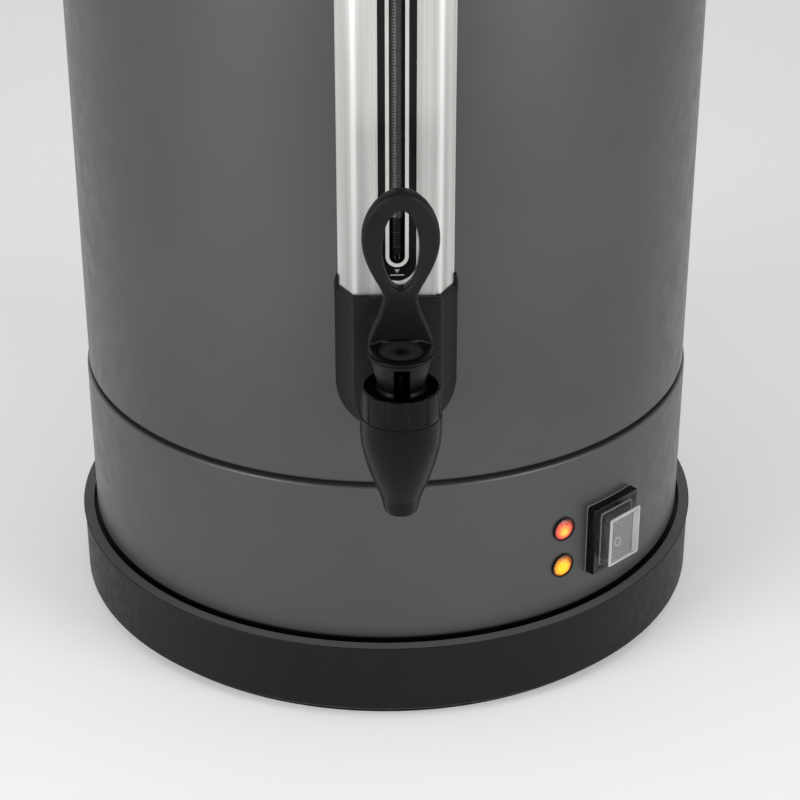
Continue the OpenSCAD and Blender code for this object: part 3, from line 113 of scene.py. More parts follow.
def around(azimuth, reach, z, across=0.0):
    """A point in metres from an angle around the urn, a reach from its axis and a height."""
    a = math.radians(azimuth)
    return Vector((reach * math.sin(a) + across * math.cos(a), -reach * math.cos(a) + across * math.sin(a), z)) * MM


# ---------------------------------------------------------------- mesh tools

def shade_smooth(mesh):
    for face in mesh.polygons:
        face.use_smooth = True


def new_piece(name, mesh, smooth=True):
    piece = bpy.data.objects.new(name, mesh)
    bpy.context.collection.objects.link(piece)
    if smooth:
        shade_smooth(mesh)
    return piece


def baked(piece):
    """The piece with its modifiers turned into a plain mesh."""
    graph = bpy.context.evaluated_depsgraph_get()
    made = piece.evaluated_get(graph)
    mesh = bpy.data.meshes.new_from_object(made, preserve_all_data_layers=True, depsgraph=graph)
    old = piece.data
    piece.modifiers.clear()
    piece.data = mesh
    bpy.data.meshes.remove(old)
    return piece


def put_back(work, mesh):
    work.to_mesh(mesh)
    work.free()
    return mesh


def mesh_of(name, verts, faces):
    mesh = bpy.data.meshes.new(name)
    mesh.from_pydata([tuple(v) for v in verts], [], faces)
    mesh.validate()
    work = bmesh.new()
    work.from_mesh(mesh)
    bmesh.ops.remove_doubles(work, verts=work.verts, dist=1e-7)
    bmesh.ops.recalc_face_normals(work, faces=work.faces)
    return put_back(work, mesh)


def turned(name, outline, steps=180, centre=(0.0, 0.0), start=0.0, sweep=360.0):
    """A closed outline of (radius, height) points in millimetres, turned around an upright line."""
    full = abs(sweep - 360.0) < 1e-6
    count = steps if full else steps + 1
    verts, faces = [], []
    n = len(outline)
    for i in range(count):
        a = math.radians(start + sweep * i / steps)
        for r, z in outline:
            verts.append(Vector((centre[0] + r * math.sin(a), centre[1] - r * math.cos(a), z)) * MM)
    for i in range(steps):
        j = (i + 1) % count
        for k in range(n):
            m = (k + 1) % n
            faces.append((i * n + k, i * n + m, j * n + m, j * n + k))
    if not full:
        faces.append(tuple(range(n)))
        faces.append(tuple((count - 1) * n + k for k in reversed(range(n))))
    return mesh_of(name, verts, faces)


def plate(name, outline, holes, place, thickness):
    """A flat plate from a closed outline and its holes. place turns its (u, v, w) into a point in metres."""
    work = bmesh.new()
    rings = []
    for loop in [outline] + holes:
        ring = [work.verts.new(place(u, v, 0.0)) for u, v in loop]
        edges = [work.edges.new((ring[i], ring[(i + 1) % len(ring)])) for i in range(len(ring))]
        rings.append(edges)
    made = bmesh.ops.triangle_fill(work, use_beauty=True, use_dissolve=False, edges=[e for r in rings for e in r])
    front = [f for f in made["geom"] if isinstance(f, bmesh.types.BMFace)]
    grown = bmesh.ops.extrude_face_region(work, geom=front)
    shift = place(0.0, 0.0, thickness) - place(0.0, 0.0, 0.0)
    bmesh.ops.translate(work, vec=shift, verts=[v for v in grown["geom"] if isinstance(v, bmesh.types.BMVert)])
    bmesh.ops.recalc_face_normals(work, faces=work.faces)
    return put_back(work, bpy.data.meshes.new(name))


def lofted(name, loops, place, parts=1):
    """A closed ring of skins through outlines of (width, height, corner, reach), first to last and back."""
    verts, faces = [], []
    for w, h, r, reach in loops:
        outline = box_outline(w / 2, h / 2, r)
        for a, b in zip(outline, outline[1:] + outline[:1]):
            share = parts if math.dist(a, b) > 2 * r else 1
            step = [(q - p) / share for p, q in zip(a, b)]
            verts += [place(a[0] + step[0] * i, a[1] + step[1] * i, reach) for i in range(share)]
    n = len(verts) // len(loops)
    for i in range(len(loops)):
        j = (i + 1) % len(loops)
        faces += [(i * n + k, i * n + (k + 1) % n, j * n + (k + 1) % n, j * n + k) for k in range(n)]
    return mesh_of(name, verts, faces)


def arc(radius, start, end, steps, centre=(0.0, 0.0)):
    """Points along an arc, both ends included; angles in degrees."""
    turns = [math.radians(start + (end - start) * i / steps) for i in range(steps + 1)]
    return [(centre[0] + radius * math.cos(a), centre[1] + radius * math.sin(a)) for a in turns]


def slot_outline(width, z0, z1, steps=12):
    r = width / 2
    return arc(r, 180, 360, steps, (0.0, z0 + r)) + arc(r, 0, 180, steps, (0.0, z1 - r))


def box_outline(w, h, r, steps=5):
    corners = ((w - r, h - r, 0), (r - w, h - r, 90), (r - w, r - h, 180), (w - r, r - h, 270))
    return [point for cx, cy, start in corners for point in arc(r, start, start + 90, steps, (cx, cy))]


def facing(azimuth, reach, z):
    """A place for plates that face outwards at an angle around the urn."""
    def place(u, v, w):
        return around(azimuth, reach + w, z + v, u)
    return place


def cad_copy(name, nodes):
    """A merged copy of CAD nodes, to be finished as a visible piece."""
    work = bmesh.new()
    for node in nodes:
        work.from_mesh(frame["nodes"][node].data)
    bmesh.ops.remove_doubles(work, verts=work.verts, dist=1e-6)
    return new_piece(name, put_back(work, bpy.data.meshes.new(name)), smooth=False)


def in_plain_faces(mesh):
    """A mesh to work on, in which each flat is one face."""
    work = bmesh.new()
    work.from_mesh(mesh)
    bmesh.ops.dissolve_limit(work, angle_limit=math.radians(1.0), verts=work.verts, edges=work.edges)
    return work


def round_bends(piece, reach, radius, segments=6):
    """Rounds the bends between the flat front at a reach and the sides, but not its top, bottom or holes."""
    work = in_plain_faces(piece.data)
    work.normal_update()
    bends = []
    for edge in work.edges:
        if len(edge.link_faces) != 2 or any(abs(v.co.y / MM + reach) > 0.05 for v in edge.verts):
            continue
        turns = [face.normal.y for face in edge.link_faces]
        if min(turns) < -0.99 and -0.95 < max(turns) < -0.1:
            bends.append(edge)
    bmesh.ops.bevel(work, geom=bends, offset=radius * MM, offset_type="OFFSET", segments=segments, profile=0.5,
                    affect="EDGES", clamp_overlap=True)
    put_back(work, piece.data)


def relax(piece, passes, group=""):
    smooth = piece.modifiers.new("relax", "SMOOTH")
    smooth.factor = 0.5
    smooth.iterations = passes
    smooth.vertex_group = group


def stand_in(piece, nodes, body):
    """Lets a finished piece take the place of the CAD nodes it was made from."""
    for node in nodes:
        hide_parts(node)
    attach(piece, body)
    return piece


def moulded(name, nodes, voxel, passes, body, softer=None, bends=None):
    """A CAD shape with its edges rounded as a moulded part's are, more so above the heights in softer."""
    piece = cad_copy(name, nodes)
    if bends:
        round_bends(piece, *bends)
    remesh = piece.modifiers.new("skin", "REMESH")
    remesh.mode = "VOXEL"
    remesh.voxel_size = voxel * MM
    remesh.use_smooth_shade = True
    relax(piece, passes)
    baked(piece)
    if softer:
        low, high, more = softer
        soft = piece.vertex_groups.new(name="soft")
        for vertex in piece.data.vertices:
            share = (vertex.co.z / MM - low) / (high - low)
            if share > 0:
                soft.add([vertex.index], min(share, 1.0), "REPLACE")
        relax(piece, more, "soft")
        swell = piece.modifiers.new("swell", "DISPLACE")
        swell.strength = 0.25 * MM
        swell.mid_level = 0.0
        swell.vertex_group = "soft"
        baked(piece)
        piece.vertex_groups.clear()
    return stand_in(piece, nodes, body)


def eased(name, nodes, width, body, angle=30.0, segments=3, bends=None):
    """A CAD shape with its crisp edges broken by a small round."""
    piece = cad_copy(name, nodes)
    if bends:
        round_bends(piece, *bends)
    put_back(in_plain_faces(piece.data), piece.data)
    round_over = piece.modifiers.new("round", "BEVEL")
    round_over.width = width * MM
    round_over.segments = segments
    round_over.limit_method = "ANGLE"
    round_over.angle_limit = math.radians(angle)
    round_over.use_clamp_overlap = True
    round_over.harden_normals = False
    baked(piece)
    piece.data.set_sharp_from_angle(angle=math.radians(40))
    shade_smooth(piece.data)
    return stand_in(piece, nodes, body)


# ---------------------------------------------------------------- shared effects

def effect(name, inputs, outputs):
    """An empty shader group with named inputs and outputs."""
    group = bpy.data.node_groups.new(name, "ShaderNodeTree")
    for label, kind, value in inputs:
        socket = group.interface.new_socket(label, in_out="INPUT", socket_type=kind)
        if value is not None:
            socket.default_value = value
    for label, kind in outputs:
        group.interface.new_socket(label, in_out="OUTPUT", socket_type=kind)
    return group, group.nodes.new("NodeGroupInput"), group.nodes.new("NodeGroupOutput")


FLOAT, VECTOR = "NodeSocketFloat", "NodeSocketVector"


def feed(tree, value, socket):
    """Sets a socket to a plain value, or links another socket to it."""
    if isinstance(value, bpy.types.NodeSocket):
        tree.links.new(value, socket)
    else:
        socket.default_value = value


def math_node(tree, kind, *values, clamp=False):
    node = tree.nodes.new("ShaderNodeMath")
    node.operation = kind
    node.use_clamp = clamp
    for value, socket in zip(values, node.inputs):
        feed(tree, value, socket)
    return node.outputs[0]


def vector_node(tree, kind, *values):
    node = tree.nodes.new("ShaderNodeVectorMath")
    node.operation = kind
    for value, socket in zip(values, node.inputs):
        feed(tree, value, socket)
    return node.outputs["Value" if kind == "LENGTH" else "Vector"]


def noise_node(tree, vector, scale, detail=2.0, roughness=0.5):
    node = tree.nodes.new("ShaderNodeTexNoise")
    for label, value in (("Vector", vector), ("Scale", scale), ("Detail", detail), ("Roughness", roughness)):
        feed(tree, value, node.inputs[label])
    return node.outputs["Fac"]


def build_grain():
    """Fine skin of paint or of a moulding, with slow changes of tone over it."""
    group, inp, out = effect(
        "skin grain",
        [("Place", VECTOR, None), ("Fineness", FLOAT, 1500.0), ("Slow", FLOAT, 18.0)],
        [("Height", FLOAT), ("Tone", FLOAT), ("Polish", FLOAT)])
    fine = noise_node(group, inp.outputs["Place"], inp.outputs["Fineness"], 3.0, 0.55)
    slow = noise_node(group, inp.outputs["Place"], inp.outputs["Slow"], 3.0, 0.5)
    middle = noise_node(group, inp.outputs["Place"], math_node(group, "MULTIPLY", inp.outputs["Fineness"], 0.12), 2.0)
    group.links.new(fine, out.inputs["Height"])
    group.links.new(slow, out.inputs["Tone"])
    group.links.new(middle, out.inputs["Polish"])
    return group


def build_brush():
    """Long fine streaks of a brushed sheet. Stretch holds how many streaks a metre has along each direction."""
    group, inp, out = effect(
        "brushed streaks",
        [("Place", VECTOR, None), ("Stretch", VECTOR, (1.0, 1.0, 1.0))],
        [("Height", FLOAT), ("Tone", FLOAT), ("Polish", FLOAT)])
    scaled = vector_node(group, "MULTIPLY", inp.outputs["Place"], inp.outputs["Stretch"])
    hair = noise_node(group, scaled, 1.0, 4.0, 0.7)
    wide = noise_node(group, scaled, 0.13, 2.0, 0.5)
    group.links.new(hair, out.inputs["Height"])
    group.links.new(hair, out.inputs["Polish"])
    both = math_node(group, "ADD", math_node(group, "MULTIPLY", wide, 0.6), math_node(group, "MULTIPLY", hair, 0.4))
    group.links.new(both, out.inputs["Tone"])
    return group


def build_scuffs():
    """Thin rubbed marks where hands and cloths go over a surface."""
    group, inp, out = effect(
        "rubbed marks",
        [("Place", VECTOR, None), ("Size", FLOAT, 60.0), ("Amount", FLOAT, 0.3)],
        [("Mask", FLOAT)])
    bent = vector_node(group, "MULTIPLY", inp.outputs["Place"], (1.0, 1.0, 0.12))
    lines = noise_node(group, bent, math_node(group, "MULTIPLY", inp.outputs["Size"], 9.0), 2.0, 0.6)
    where = noise_node(group, inp.outputs["Place"], inp.outputs["Size"], 2.0)
    thin = math_node(group, "MULTIPLY", math_node(group, "SUBTRACT", lines, 0.62), 9.0, clamp=True)
    area = math_node(group, "MULTIPLY", math_node(group, "SUBTRACT", where, 0.52), 6.0, clamp=True)
    mask = math_node(group, "MULTIPLY", math_node(group, "MULTIPLY", thin, area), inp.outputs["Amount"])
    group.links.new(mask, out.inputs["Mask"])
    return group


def build_reach():
    """How far a place lies from a centre, counted along chosen axes: 0 up to one distance, 1 from another."""
    group, inp, out = effect(
        "distance mask",
        [("Place", VECTOR, None), ("Centre", VECTOR, (0.0, 0.0, 0.0)), ("Axes", VECTOR, (1.0, 1.0, 1.0)),
         ("From", FLOAT, 0.0), ("To", FLOAT, 1.0)],
        [("Mask", FLOAT)])
    apart = vector_node(group, "SUBTRACT", inp.outputs["Place"], inp.outputs["Centre"])
    along = vector_node(group, "MULTIPLY", apart, inp.outputs["Axes"])
    past = math_node(group, "SUBTRACT", vector_node(group, "LENGTH", along), inp.outputs["From"])
    span = math_node(group, "SUBTRACT", inp.outputs["To"], inp.outputs["From"])
    group.links.new(math_node(group, "DIVIDE", past, span, clamp=True), out.inputs["Mask"])
    return group


ACROSS, FLAT, UPRIGHT = (1.0, 0.0, 0.0), (1.0, 1.0, 0.0), (0.0, 0.0, 1.0)
REACH = build_reach()
GRAIN = build_grain()
BRUSH = build_brush()
SCUFFS = build_scuffs()


# ---------------------------------------------------------------- materials

def tint(value):
    """A written colour, as light."""
    parts = [int(value[i:i + 2], 16) / 255 for i in (1, 3, 5)]
    return tuple(p / 12.92 if p <= 0.04045 else ((p + 0.055) / 1.055) ** 2.4 for p in parts) + (1.0,)


class Finish:
    """A material with a Principled shader, filled in step by step."""

    def __init__(self, name, **plain):
        self.material = bpy.data.materials.new(name)
        self.material.use_nodes = True
        self.tree = self.material.node_tree
        self.shader = self.tree.nodes["Principled BSDF"]
        self.fill(**plain)
        self.place = self.tree.nodes.new("ShaderNodeTexCoord").outputs["Object"]

    def fill(self, **inputs):
        """Feeds the shader's own sockets."""
        for label, value in inputs.items():
            feed(self.tree, value, self.shader.inputs[label.replace("_", " ")])

    def group(self, group, **values):
        node = self.tree.nodes.new("ShaderNodeGroup")
        node.node_tree = group
        self.tree.links.new(self.place, node.inputs["Place"])
        for label, value in values.items():
            node.inputs[label].default_value = value
        return node.outputs

    def blend(self, factor, first, second):
        node = self.tree.nodes.new("ShaderNodeMix")
        node.data_type = "RGBA"
        for i, value in ((0, factor), (6, first), (7, second)):
            feed(self.tree, value, node.inputs[i])
        return node.outputs[2]

    def remap(self, value, low, high, from_low=0.3, from_high=0.7):
        node = self.tree.nodes.new("ShaderNodeMapRange")
        ends = (("Value", value), ("From Min", from_low), ("From Max", from_high), ("To Min", low), ("To Max", high))
        for label, number in ends:
            feed(self.tree, number, node.inputs[label])
        return node.outputs["Result"]

    def two_tone(self, value, light, dark):
        """From a dark to a light written colour as a slow pattern rises."""
        return self.blend(self.remap(value, 0.0, 1.0), tint(dark), tint(light))

    def relief(self, height, depth, strength):
        """A bump from a height pattern, its depth in millimetres."""
        bump = self.tree.nodes.new("ShaderNodeBump")
        for label, value in (("Strength", strength), ("Distance", depth * MM), ("Height", height)):
            feed(self.tree, value, bump.inputs[label])
        self.fill(Normal=bump.outputs["Normal"])


def grained(name, light, dark, gloss=(0.4, 0.55), fineness=1500.0, slow=18.0, depth=0.02, strength=0.4, scuff=0.0,
            scuffed="#8a8a8a", painted_light_and_shade_zones=(), **plain):
    """Paint, plastic or rubber: two close tones, a fine skin, a few rubbed marks, and areas of another colour that
    paint light and shade onto it.
    """
    f = Finish(name, **plain)
    skin = f.group(GRAIN, Fineness=fineness, Slow=slow)
    tone = f.two_tone(skin["Tone"], light, dark)
    if scuff > 0:
        marks = f.group(SCUFFS, Size=42.0, Amount=scuff)
        tone = f.blend(marks["Mask"], tone, tint(scuffed))
    for inside, other, centre, axes, near, away in painted_light_and_shade_zones:
        mask = f.group(REACH, Centre=[v * MM for v in centre], Axes=axes, From=near * MM, To=away * MM)["Mask"]
        tone = f.blend(mask, tint(other), tone) if inside else f.blend(mask, tone, tint(other))
    f.fill(Base_Color=tone, Roughness=f.remap(skin["Polish"], *gloss))
    f.relief(skin["Height"], depth, strength)
    return f.material


def inked(name, light, dark, gloss=(0.35, 0.45), depth=0.006, strength=0.2, **plain):
    """A very smooth, even skin: printing, glazed plastic or coated steel."""
    return grained(name, light, dark, gloss, 2400.0, 60.0, depth, strength, **plain)


def brushed(name, light, dark, stretch, gloss=(0.25, 0.42), depth=0.012, strength=0.35, painted_highlight_bands=(), **plain):
    """Sheet metal with streaks along one direction, and lighter tones further out from its middle: painted highlight
    along bends and a painted tone on the sides.
    """
    f = Finish(name, **{"Metallic": 1.0, **plain})
    streaks = f.group(BRUSH, Stretch=stretch)
    share = f.remap(streaks["Tone"], 0.0, 1.0, 0.35, 0.65)
    tone = f.blend(share, tint(dark), tint(light))
    for lighter, darker, near, away in painted_highlight_bands:
        mask = f.group(REACH, Axes=ACROSS, From=near * MM, To=away * MM)["Mask"]
        tone = f.blend(mask, tone, f.blend(share, tint(darker), tint(lighter)))
    f.fill(Base_Color=tone, Roughness=f.remap(streaks["Polish"], *gloss))
    f.relief(streaks["Height"], depth, strength)
    return f.material


def clean_surface(name, light, dark, gloss, **plain):
    """Glass or clear plastic, hardly marked; with the height pattern of its skin."""
    f = Finish(name, **plain)
    skin = f.group(GRAIN, Fineness=700.0, Slow=60.0)
    f.fill(Base_Color=f.two_tone(skin["Tone"], light, dark), Roughness=f.remap(skin["Polish"], *gloss))
    return f, skin["Height"]


def clear(name, light, dark, alpha, gloss=(0.2, 0.32), **plain):
    """Clear glass or plastic that lets what is behind it show."""
    f, height = clean_surface(name, light, dark, gloss, Alpha=alpha, **plain)
    f.relief(height, 0.01, 0.1)
    return f.material


def glass(name, light, dark, gloss):
    """Drawn glass: it bends what is behind it and shines along its sides."""
    return clean_surface(name, light, dark, gloss, Transmission_Weight=1.0, IOR=1.47)[0].material


def lit_lens(name, azimuth, z, tones):
    """A pilot lamp's lens: bright where the neon glows behind it, with small prisms moulded in."""
    f = Finish(name, Roughness=0.18, Specular_IOR_Level=0.4, Emission_Strength=1.0)
    spots = f.tree.nodes.new("ShaderNodeTexVoronoi")
    spots.feature = "F1"
    spots.inputs["Scale"].default_value = 720.0
    f.tree.links.new(f.place, spots.inputs["Vector"])
    prisms = spots.outputs["Distance"]
    neon = around(azimuth, BAND_R + 1.0, z - 0.3, -0.7)
    out = f.group(REACH, Centre=neon, Axes=(1.0, 1.0, 1.0), From=0.0, To=LENS_SPAN * MM)
    ramp = f.tree.nodes.new("ShaderNodeValToRGB")
    f.tree.links.new(math_node(f.tree, "MULTIPLY_ADD", prisms, 0.16, out["Mask"]), ramp.inputs["Fac"])
    stops = ramp.color_ramp.elements
    for stop, (place, colour) in zip(stops, (tones[0], tones[-1])):
        stop.position, stop.color = place / LENS_SPAN, tint(colour)
    for place, colour in tones[1:-1]:
        stops.new(place / LENS_SPAN).color = tint(colour)
    shine = ramp.outputs["Color"]
    f.fill(Base_Color=f.blend(0.75, shine, tint("#100a08")), Emission_Color=shine)
    f.relief(prisms, 0.5, 0.6)
    return f.material


def glow(name, light, dark, strength):
    """Something that gives light of its own."""
    f = Finish(name, Roughness=0.3, Emission_Strength=strength)
    skin = f.group(GRAIN, Fineness=900.0, Slow=200.0)
    shade = f.two_tone(skin["Tone"], light, dark)
    f.fill(Base_Color=shade, Emission_Color=shade)
    f.relief(skin["Height"], 0.02, 0.2)
    return f.material


# streaks per metre, for brushing that runs upwards, around, or every way
UP = (1900.0, 1900.0, 12.0)
ROUND = (60.0, 60.0, 2600.0)
GRITTY = (300.0, 300.0, 300.0)
FINE = (1500.0, 1500.0, 1500.0)

finishes = {
    "charcoal_paint": grained("charcoal paint", "#525252", "#4c4c4c", (0.32, 0.42), 900.0, 9.0, 0.012, 0.25,
                              # the band's foot, down into the groove above the ledge, is painted near black: painted
                              # shade in the groove
                              painted_light_and_shade_zones=[(True, "#060606", (0, 0, 0), UPRIGHT, LEDGE_Z + 0.5, LEDGE_Z + 2.4)],
                              Metallic=0.5, Specular_IOR_Level=0.4),
    "base_plastic": grained("base moulding", "#181818", "#121212", (0.4, 0.52), 1900.0, 14.0, 0.03, 0.5, 0.2, "#303030",
                            Specular_IOR_Level=0.16),
    "tap_plastic": grained("tap moulding", "#0c0c0c", "#070707", (0.18, 0.28), 2200.0, 40.0, 0.008, 0.25, 0.12,
                           "#242424", Specular_IOR_Level=0.13),
    "gauge_plastic": grained("gauge moulding", "#141414", "#0e0e0e", (0.3, 0.42), 2200.0, 30.0, 0.02, 0.4, 0.15,
                             "#303030", Specular_IOR_Level=0.22),
    "grip_plastic": grained("grip moulding", "#161616", "#101010", (0.4, 0.55), 1800.0, 30.0, 0.03, 0.5, 0.3, "#3a3a3a",
                            Specular_IOR_Level=0.3),
    "switch_plastic": grained("switch moulding", "#0f0f0f", "#090909", (0.2, 0.3), 2600.0, 60.0, 0.008, 0.2,
                              Specular_IOR_Level=0.2),
    "splash_cover": clear("splash cover", "#b9bbbc", "#a8aaac", 0.3, (0.16, 0.3), Specular_IOR_Level=0.4),
    # the guard's bends get a painted highlight, and its sides a little lighter painted tone
    "brushed_stainless": brushed("brushed guard sheet", "#dcdbd9", "#b8b7b5", UP, (0.4, 0.56), 0.008, 0.25, [
        ("#f6f5f3", "#e0dfdd", 16.0, 17.6), ("#dddcda", "#c2c1bf", 18.6, 19.6)], Anisotropic=0.9),
    "tank_stainless": brushed("satin tank steel", "#bdbcb9", "#a6a5a2", ROUND, (0.28, 0.4)),
    "plated_steel": brushed("zinc plate", "#b5b7b6", "#a2a49f", GRITTY, (0.35, 0.5)),
    "black_steel": inked("black coated steel", "#0c0c0c", "#070707", (0.25, 0.4), Specular_IOR_Level=0.2),
    "screw_steel": brushed("screw steel", "#c9c9c8", "#b2b2b0", FINE, (0.15, 0.28)),
    "window_black": inked("window print black", "#080808", "#050505", (0.26, 0.36), 0.004, Specular_IOR_Level=0.2),
    "gauge_glass": glass("gauge glass", "#f4f8f8", "#eaf1f1", (0.01, 0.03)),
    "black_rubber": grained("foot rubber", "#161616", "#101010", (0.7, 0.85), 1600.0, 40.0, 0.05, 0.6, 0.3, "#343434",
                            Specular_IOR_Level=0.2),
    "silicone": grained("silicone", "#dcdcd6", "#cfcfc8", (0.5, 0.6), 1500.0, 60.0, 0.02, 0.3,
                        Subsurface_Weight=0.1, Subsurface_Scale=0.002),
    "brass": brushed("turned brass", "#c9a765", "#a98648", ROUND, (0.25, 0.4)),
    "copper": brushed("drawn copper", "#b96f4a", "#9a5838", ROUND, (0.25, 0.4)),
    "red_lens": lit_lens("red lamp lens", LAMP_AZ, LAMP_Z[0], [
        (0.0, "#ffec4c"), (1.7, "#ffd44a"), (2.8, "#f69c46"), (3.9, "#f06046"), (4.9, "#b8463c"), (5.8, "#602a22")]),
    "amber_lens": lit_lens("amber lamp lens", LAMP_AZ, LAMP_Z[1], [
        (0.0, "#ffd824"), (2.9, "#fdca1f"), (3.9, "#f6ac26"), (4.9, "#c4741c"), (5.8, "#7c3c14")]),
    "lamp_glass": glow("neon glass", "#ffc060", "#ff7a30", 1.2),
    "cast_heater": grained("cast heater", "#9b9b97", "#858581", (0.45, 0.6), 700.0, 40.0, 0.08, 0.6, Metallic=0.9),
    "heater_sheath": brushed("heat tinted sheath", "#6a655c", "#4c463f", ROUND, (0.4, 0.55)),
    "cream_moulding": grained("cream moulding", "#ddd6c2", "#cfc7b2", (0.4, 0.5), 1500.0, 40.0, 0.02, 0.3),
    "red_button": grained("red button", "#b3231c", "#9c1b16", (0.25, 0.35), 1500.0, 40.0, 0.01, 0.2),
    "wire_jacket": grained("wire sleeve", "#8a3020", "#702416", (0.5, 0.65), 2600.0, 60.0, 0.05, 0.5),
}
white_print = inked("white print", "#c2c2bf", "#b6b6b2")
grey_print = inked("grey print", "#8f8f8c", "#7d7d7a")
dark_print = inked("dark print", "#0c0c0c", "#070707")
# the lip at the frame's foot is light grey: a painted highlight along the frame's edge
frame_foot_painted_highlight = inked("switch frame foot painted highlight", "#707070", "#626262", (0.3, 0.4))
tube_back = inked("gauge tube backing", "#606060", "#585858", (0.4, 0.5), 0.004, 0.1)
# a pale strip down the tube's left above the coffee: a painted highlight on the glass
painted_highlight_stripe = inked("gauge stripe", "#686866", "#5c5c5a", (0.3, 0.4), 0.004, 0.1)
deep_stripe = inked("gauge stripe in coffee", "#12100f", "#0c0b0a", (0.3, 0.4), 0.004, 0.1, Specular_IOR_Level=0.1)
coffee = grained("brewed coffee", "#120c09", "#0c0806", (0.08, 0.14), 300.0, 60.0, 0.004, 0.1,
                 Specular_IOR_Level=0.3)
# the ledge trim is the band's charcoal paint made lighter, painted light on its upward face, and its lip's outer edge
# is painted near black, a painted shadow under the lip
ledge_painted_light_and_shade = grained("ledge paint with painted light and shade", "#646464", "#5c5c5c", (0.45, 0.55), 900.0, 9.0, 0.012, 0.25,
                      painted_light_and_shade_zones=[(False, "#060606", (0, 0, 0), FLAT, LEDGE_LIP_R - 0.1, LEDGE_LIP_R + 0.1)],
                      Metallic=0.2, Specular_IOR_Level=0.3)
# the lever's painted light and shade: the disc's rim painted near black, a painted reflection of the dark blade above
# it; its dish painted paler, painted light from the sides; the shade in the dish's middle; and the cup's foot painted
# black, painted shade inside the bonnet's mouth
lever_painted_light_and_shade = grained("tap handle moulding with painted light and shade", "#1a1a1a", "#151515", (0.34, 0.46), 2200.0, 40.0, 0.008, 0.25, 0.12,
                     "#2c2c2c", painted_light_and_shade_zones=[
                         (True, "#060606", (0, -TAP_P, DISC_Z - 1.0), (1.0, 1.0, 10.0), 16.0, 18.0),
                         (True, "#2e2e2e", (0, -TAP_P, DISC_Z - 1.4), (1.0, 1.0, 5.0), 8.4, 9.8),
                         (True, "#0c0c0c", (0, -TAP_P, DISC_Z - 2.0), (1.0, 1.0, 1.0), 2.0, 5.0),
                         (True, "#040404", (0, -TAP_P, CUP_Z - 5.0), (0.2, 0.2, 1.0), 6.0, 12.5)],
                     Specular_IOR_Level=0.13)
milky_glass = clear("gauge glass seen along its wall", "#3c3c3c", "#343434", 0.8, (0.2, 0.3), Specular_IOR_Level=0.3)
milky_edge = clear("splash cover edge", "#c6c8c9", "#b6b8b9", 0.82, Specular_IOR_Level=0.5)
faint_edge = clear("splash cover foot", "#b0b2b3", "#a0a2a3", 0.5, Specular_IOR_Level=0.5)
soft_side = clear("splash cover side seen through", "#cccecf", "#bcbebf", 0.5, Specular_IOR_Level=0.4)
clear_wall = clear("splash cover wall", "#a4a6a8", "#96989a", 0.08, (0.1, 0.2), Specular_IOR_Level=0.5)


def dress(piece, slot, material=None):
    piece.data.materials.clear()
    piece.data.materials.append(material or finishes[slot])


def added(piece, body, slot, look=None):
    """Dresses a piece of the scene's own and lets it ride on a body."""
    dress(piece, slot, look)
    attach(piece, body)


# looks in place of the record's: the ledge trim gets a lighter copy of the charcoal paint, painted light with a painted
# lip shadow, and the handle's pin black coated steel instead of screw steel, painted shade where its ends show by the
# cup's slot
own_looks = {"base_trim": ledge_painted_light_and_shade, "handle_pin": finishes["black_steel"]}
for part in frame["record"]["subparts"]:
    for place in frame["nodes"][part["node"]].material_slots:
        place.material = own_looks.get(part["node"], finishes[part["material_slot"]])


# ---------------------------------------------------------------- tap

lever = moulded("tap_lever", ["tap_handle"], 0.42, 4, "handle", (*LEVER_Z, 60))
dress(lever, "tap_plastic", lever_painted_light_and_shade)
collar = eased("tap_collar", ["tap_bonnet"], 0.3, "urn", 25.0, 2)
dress(collar, "tap_plastic")


# ---------------------------------------------------------------- gauge

boot = moulded("gauge_foot", ["gauge_boot"], 0.42, 3, "urn", bends=(BOOT_P, BOOT_BEND))
dress(boot, "gauge_plastic")
cap = moulded("gauge_top", ["gauge_cap"], 0.45, 3, "urn", bends=(BOOT_P, BOOT_BEND))
dress(cap, "gauge_plastic")


def boot_ear(side):
    """The boot's rear corner, which reaches up behind the guard's edge."""
    corner = ((25.2, -3.0), (26.5, -3.0), (26.5, 1.6), (25.7, 4.4), (25.2, 4.4))
    return plate("boot_ear", [(side * x, EAR_Z + up) for x, up in corner], [], facing(0, EAR_P, 0), 2.4)


for number, side in enumerate((-1, 1)):
    added(new_piece(f"boot_ear_{number + 1}", boot_ear(side), smooth=False), "urn", "gauge_plastic")
guard = eased("gauge_cover", ["gauge_guard"], 0.25, "urn", 25.0, 3, bends=(GUARD_P, GUARD_BEND))
dress(guard, "brushed_stainless")


def print_frame():
    """The white line printed around the window."""
    outer = slot_outline(WINDOW_W + 2 * LINE_W, WINDOW_Z[0] - LINE_W, WINDOW_Z[1] + LINE_W, 20)
    inner = slot_outline(WINDOW_W, WINDOW_Z[0], WINDOW_Z[1], 20)
    return plate("window_line", outer, [inner], facing(0, WINDOW_FRONT, 0), PRINT)


def low_mark():
    """A small arrow over a bar: the lowest filling."""
    place = facing(0, WINDOW_FRONT, LOW_Z)
    arrow = plate("low_arrow", [(-1.1, 2.9), (1.1, 2.9), (0.0, 1.1)], [], place, PRINT)
    bar = plate("low_bar", [(-3.0, 0.0), (3.0, 0.0), (3.0, 0.6), (-3.0, 0.6)], [], place, PRINT)
    return [(arrow, grey_print), (bar, grey_print)]


for mesh, ink in [(print_frame(), white_print), *low_mark()]:
    added(new_piece(mesh.name, mesh, smooth=False), "urn", "window_black", ink)


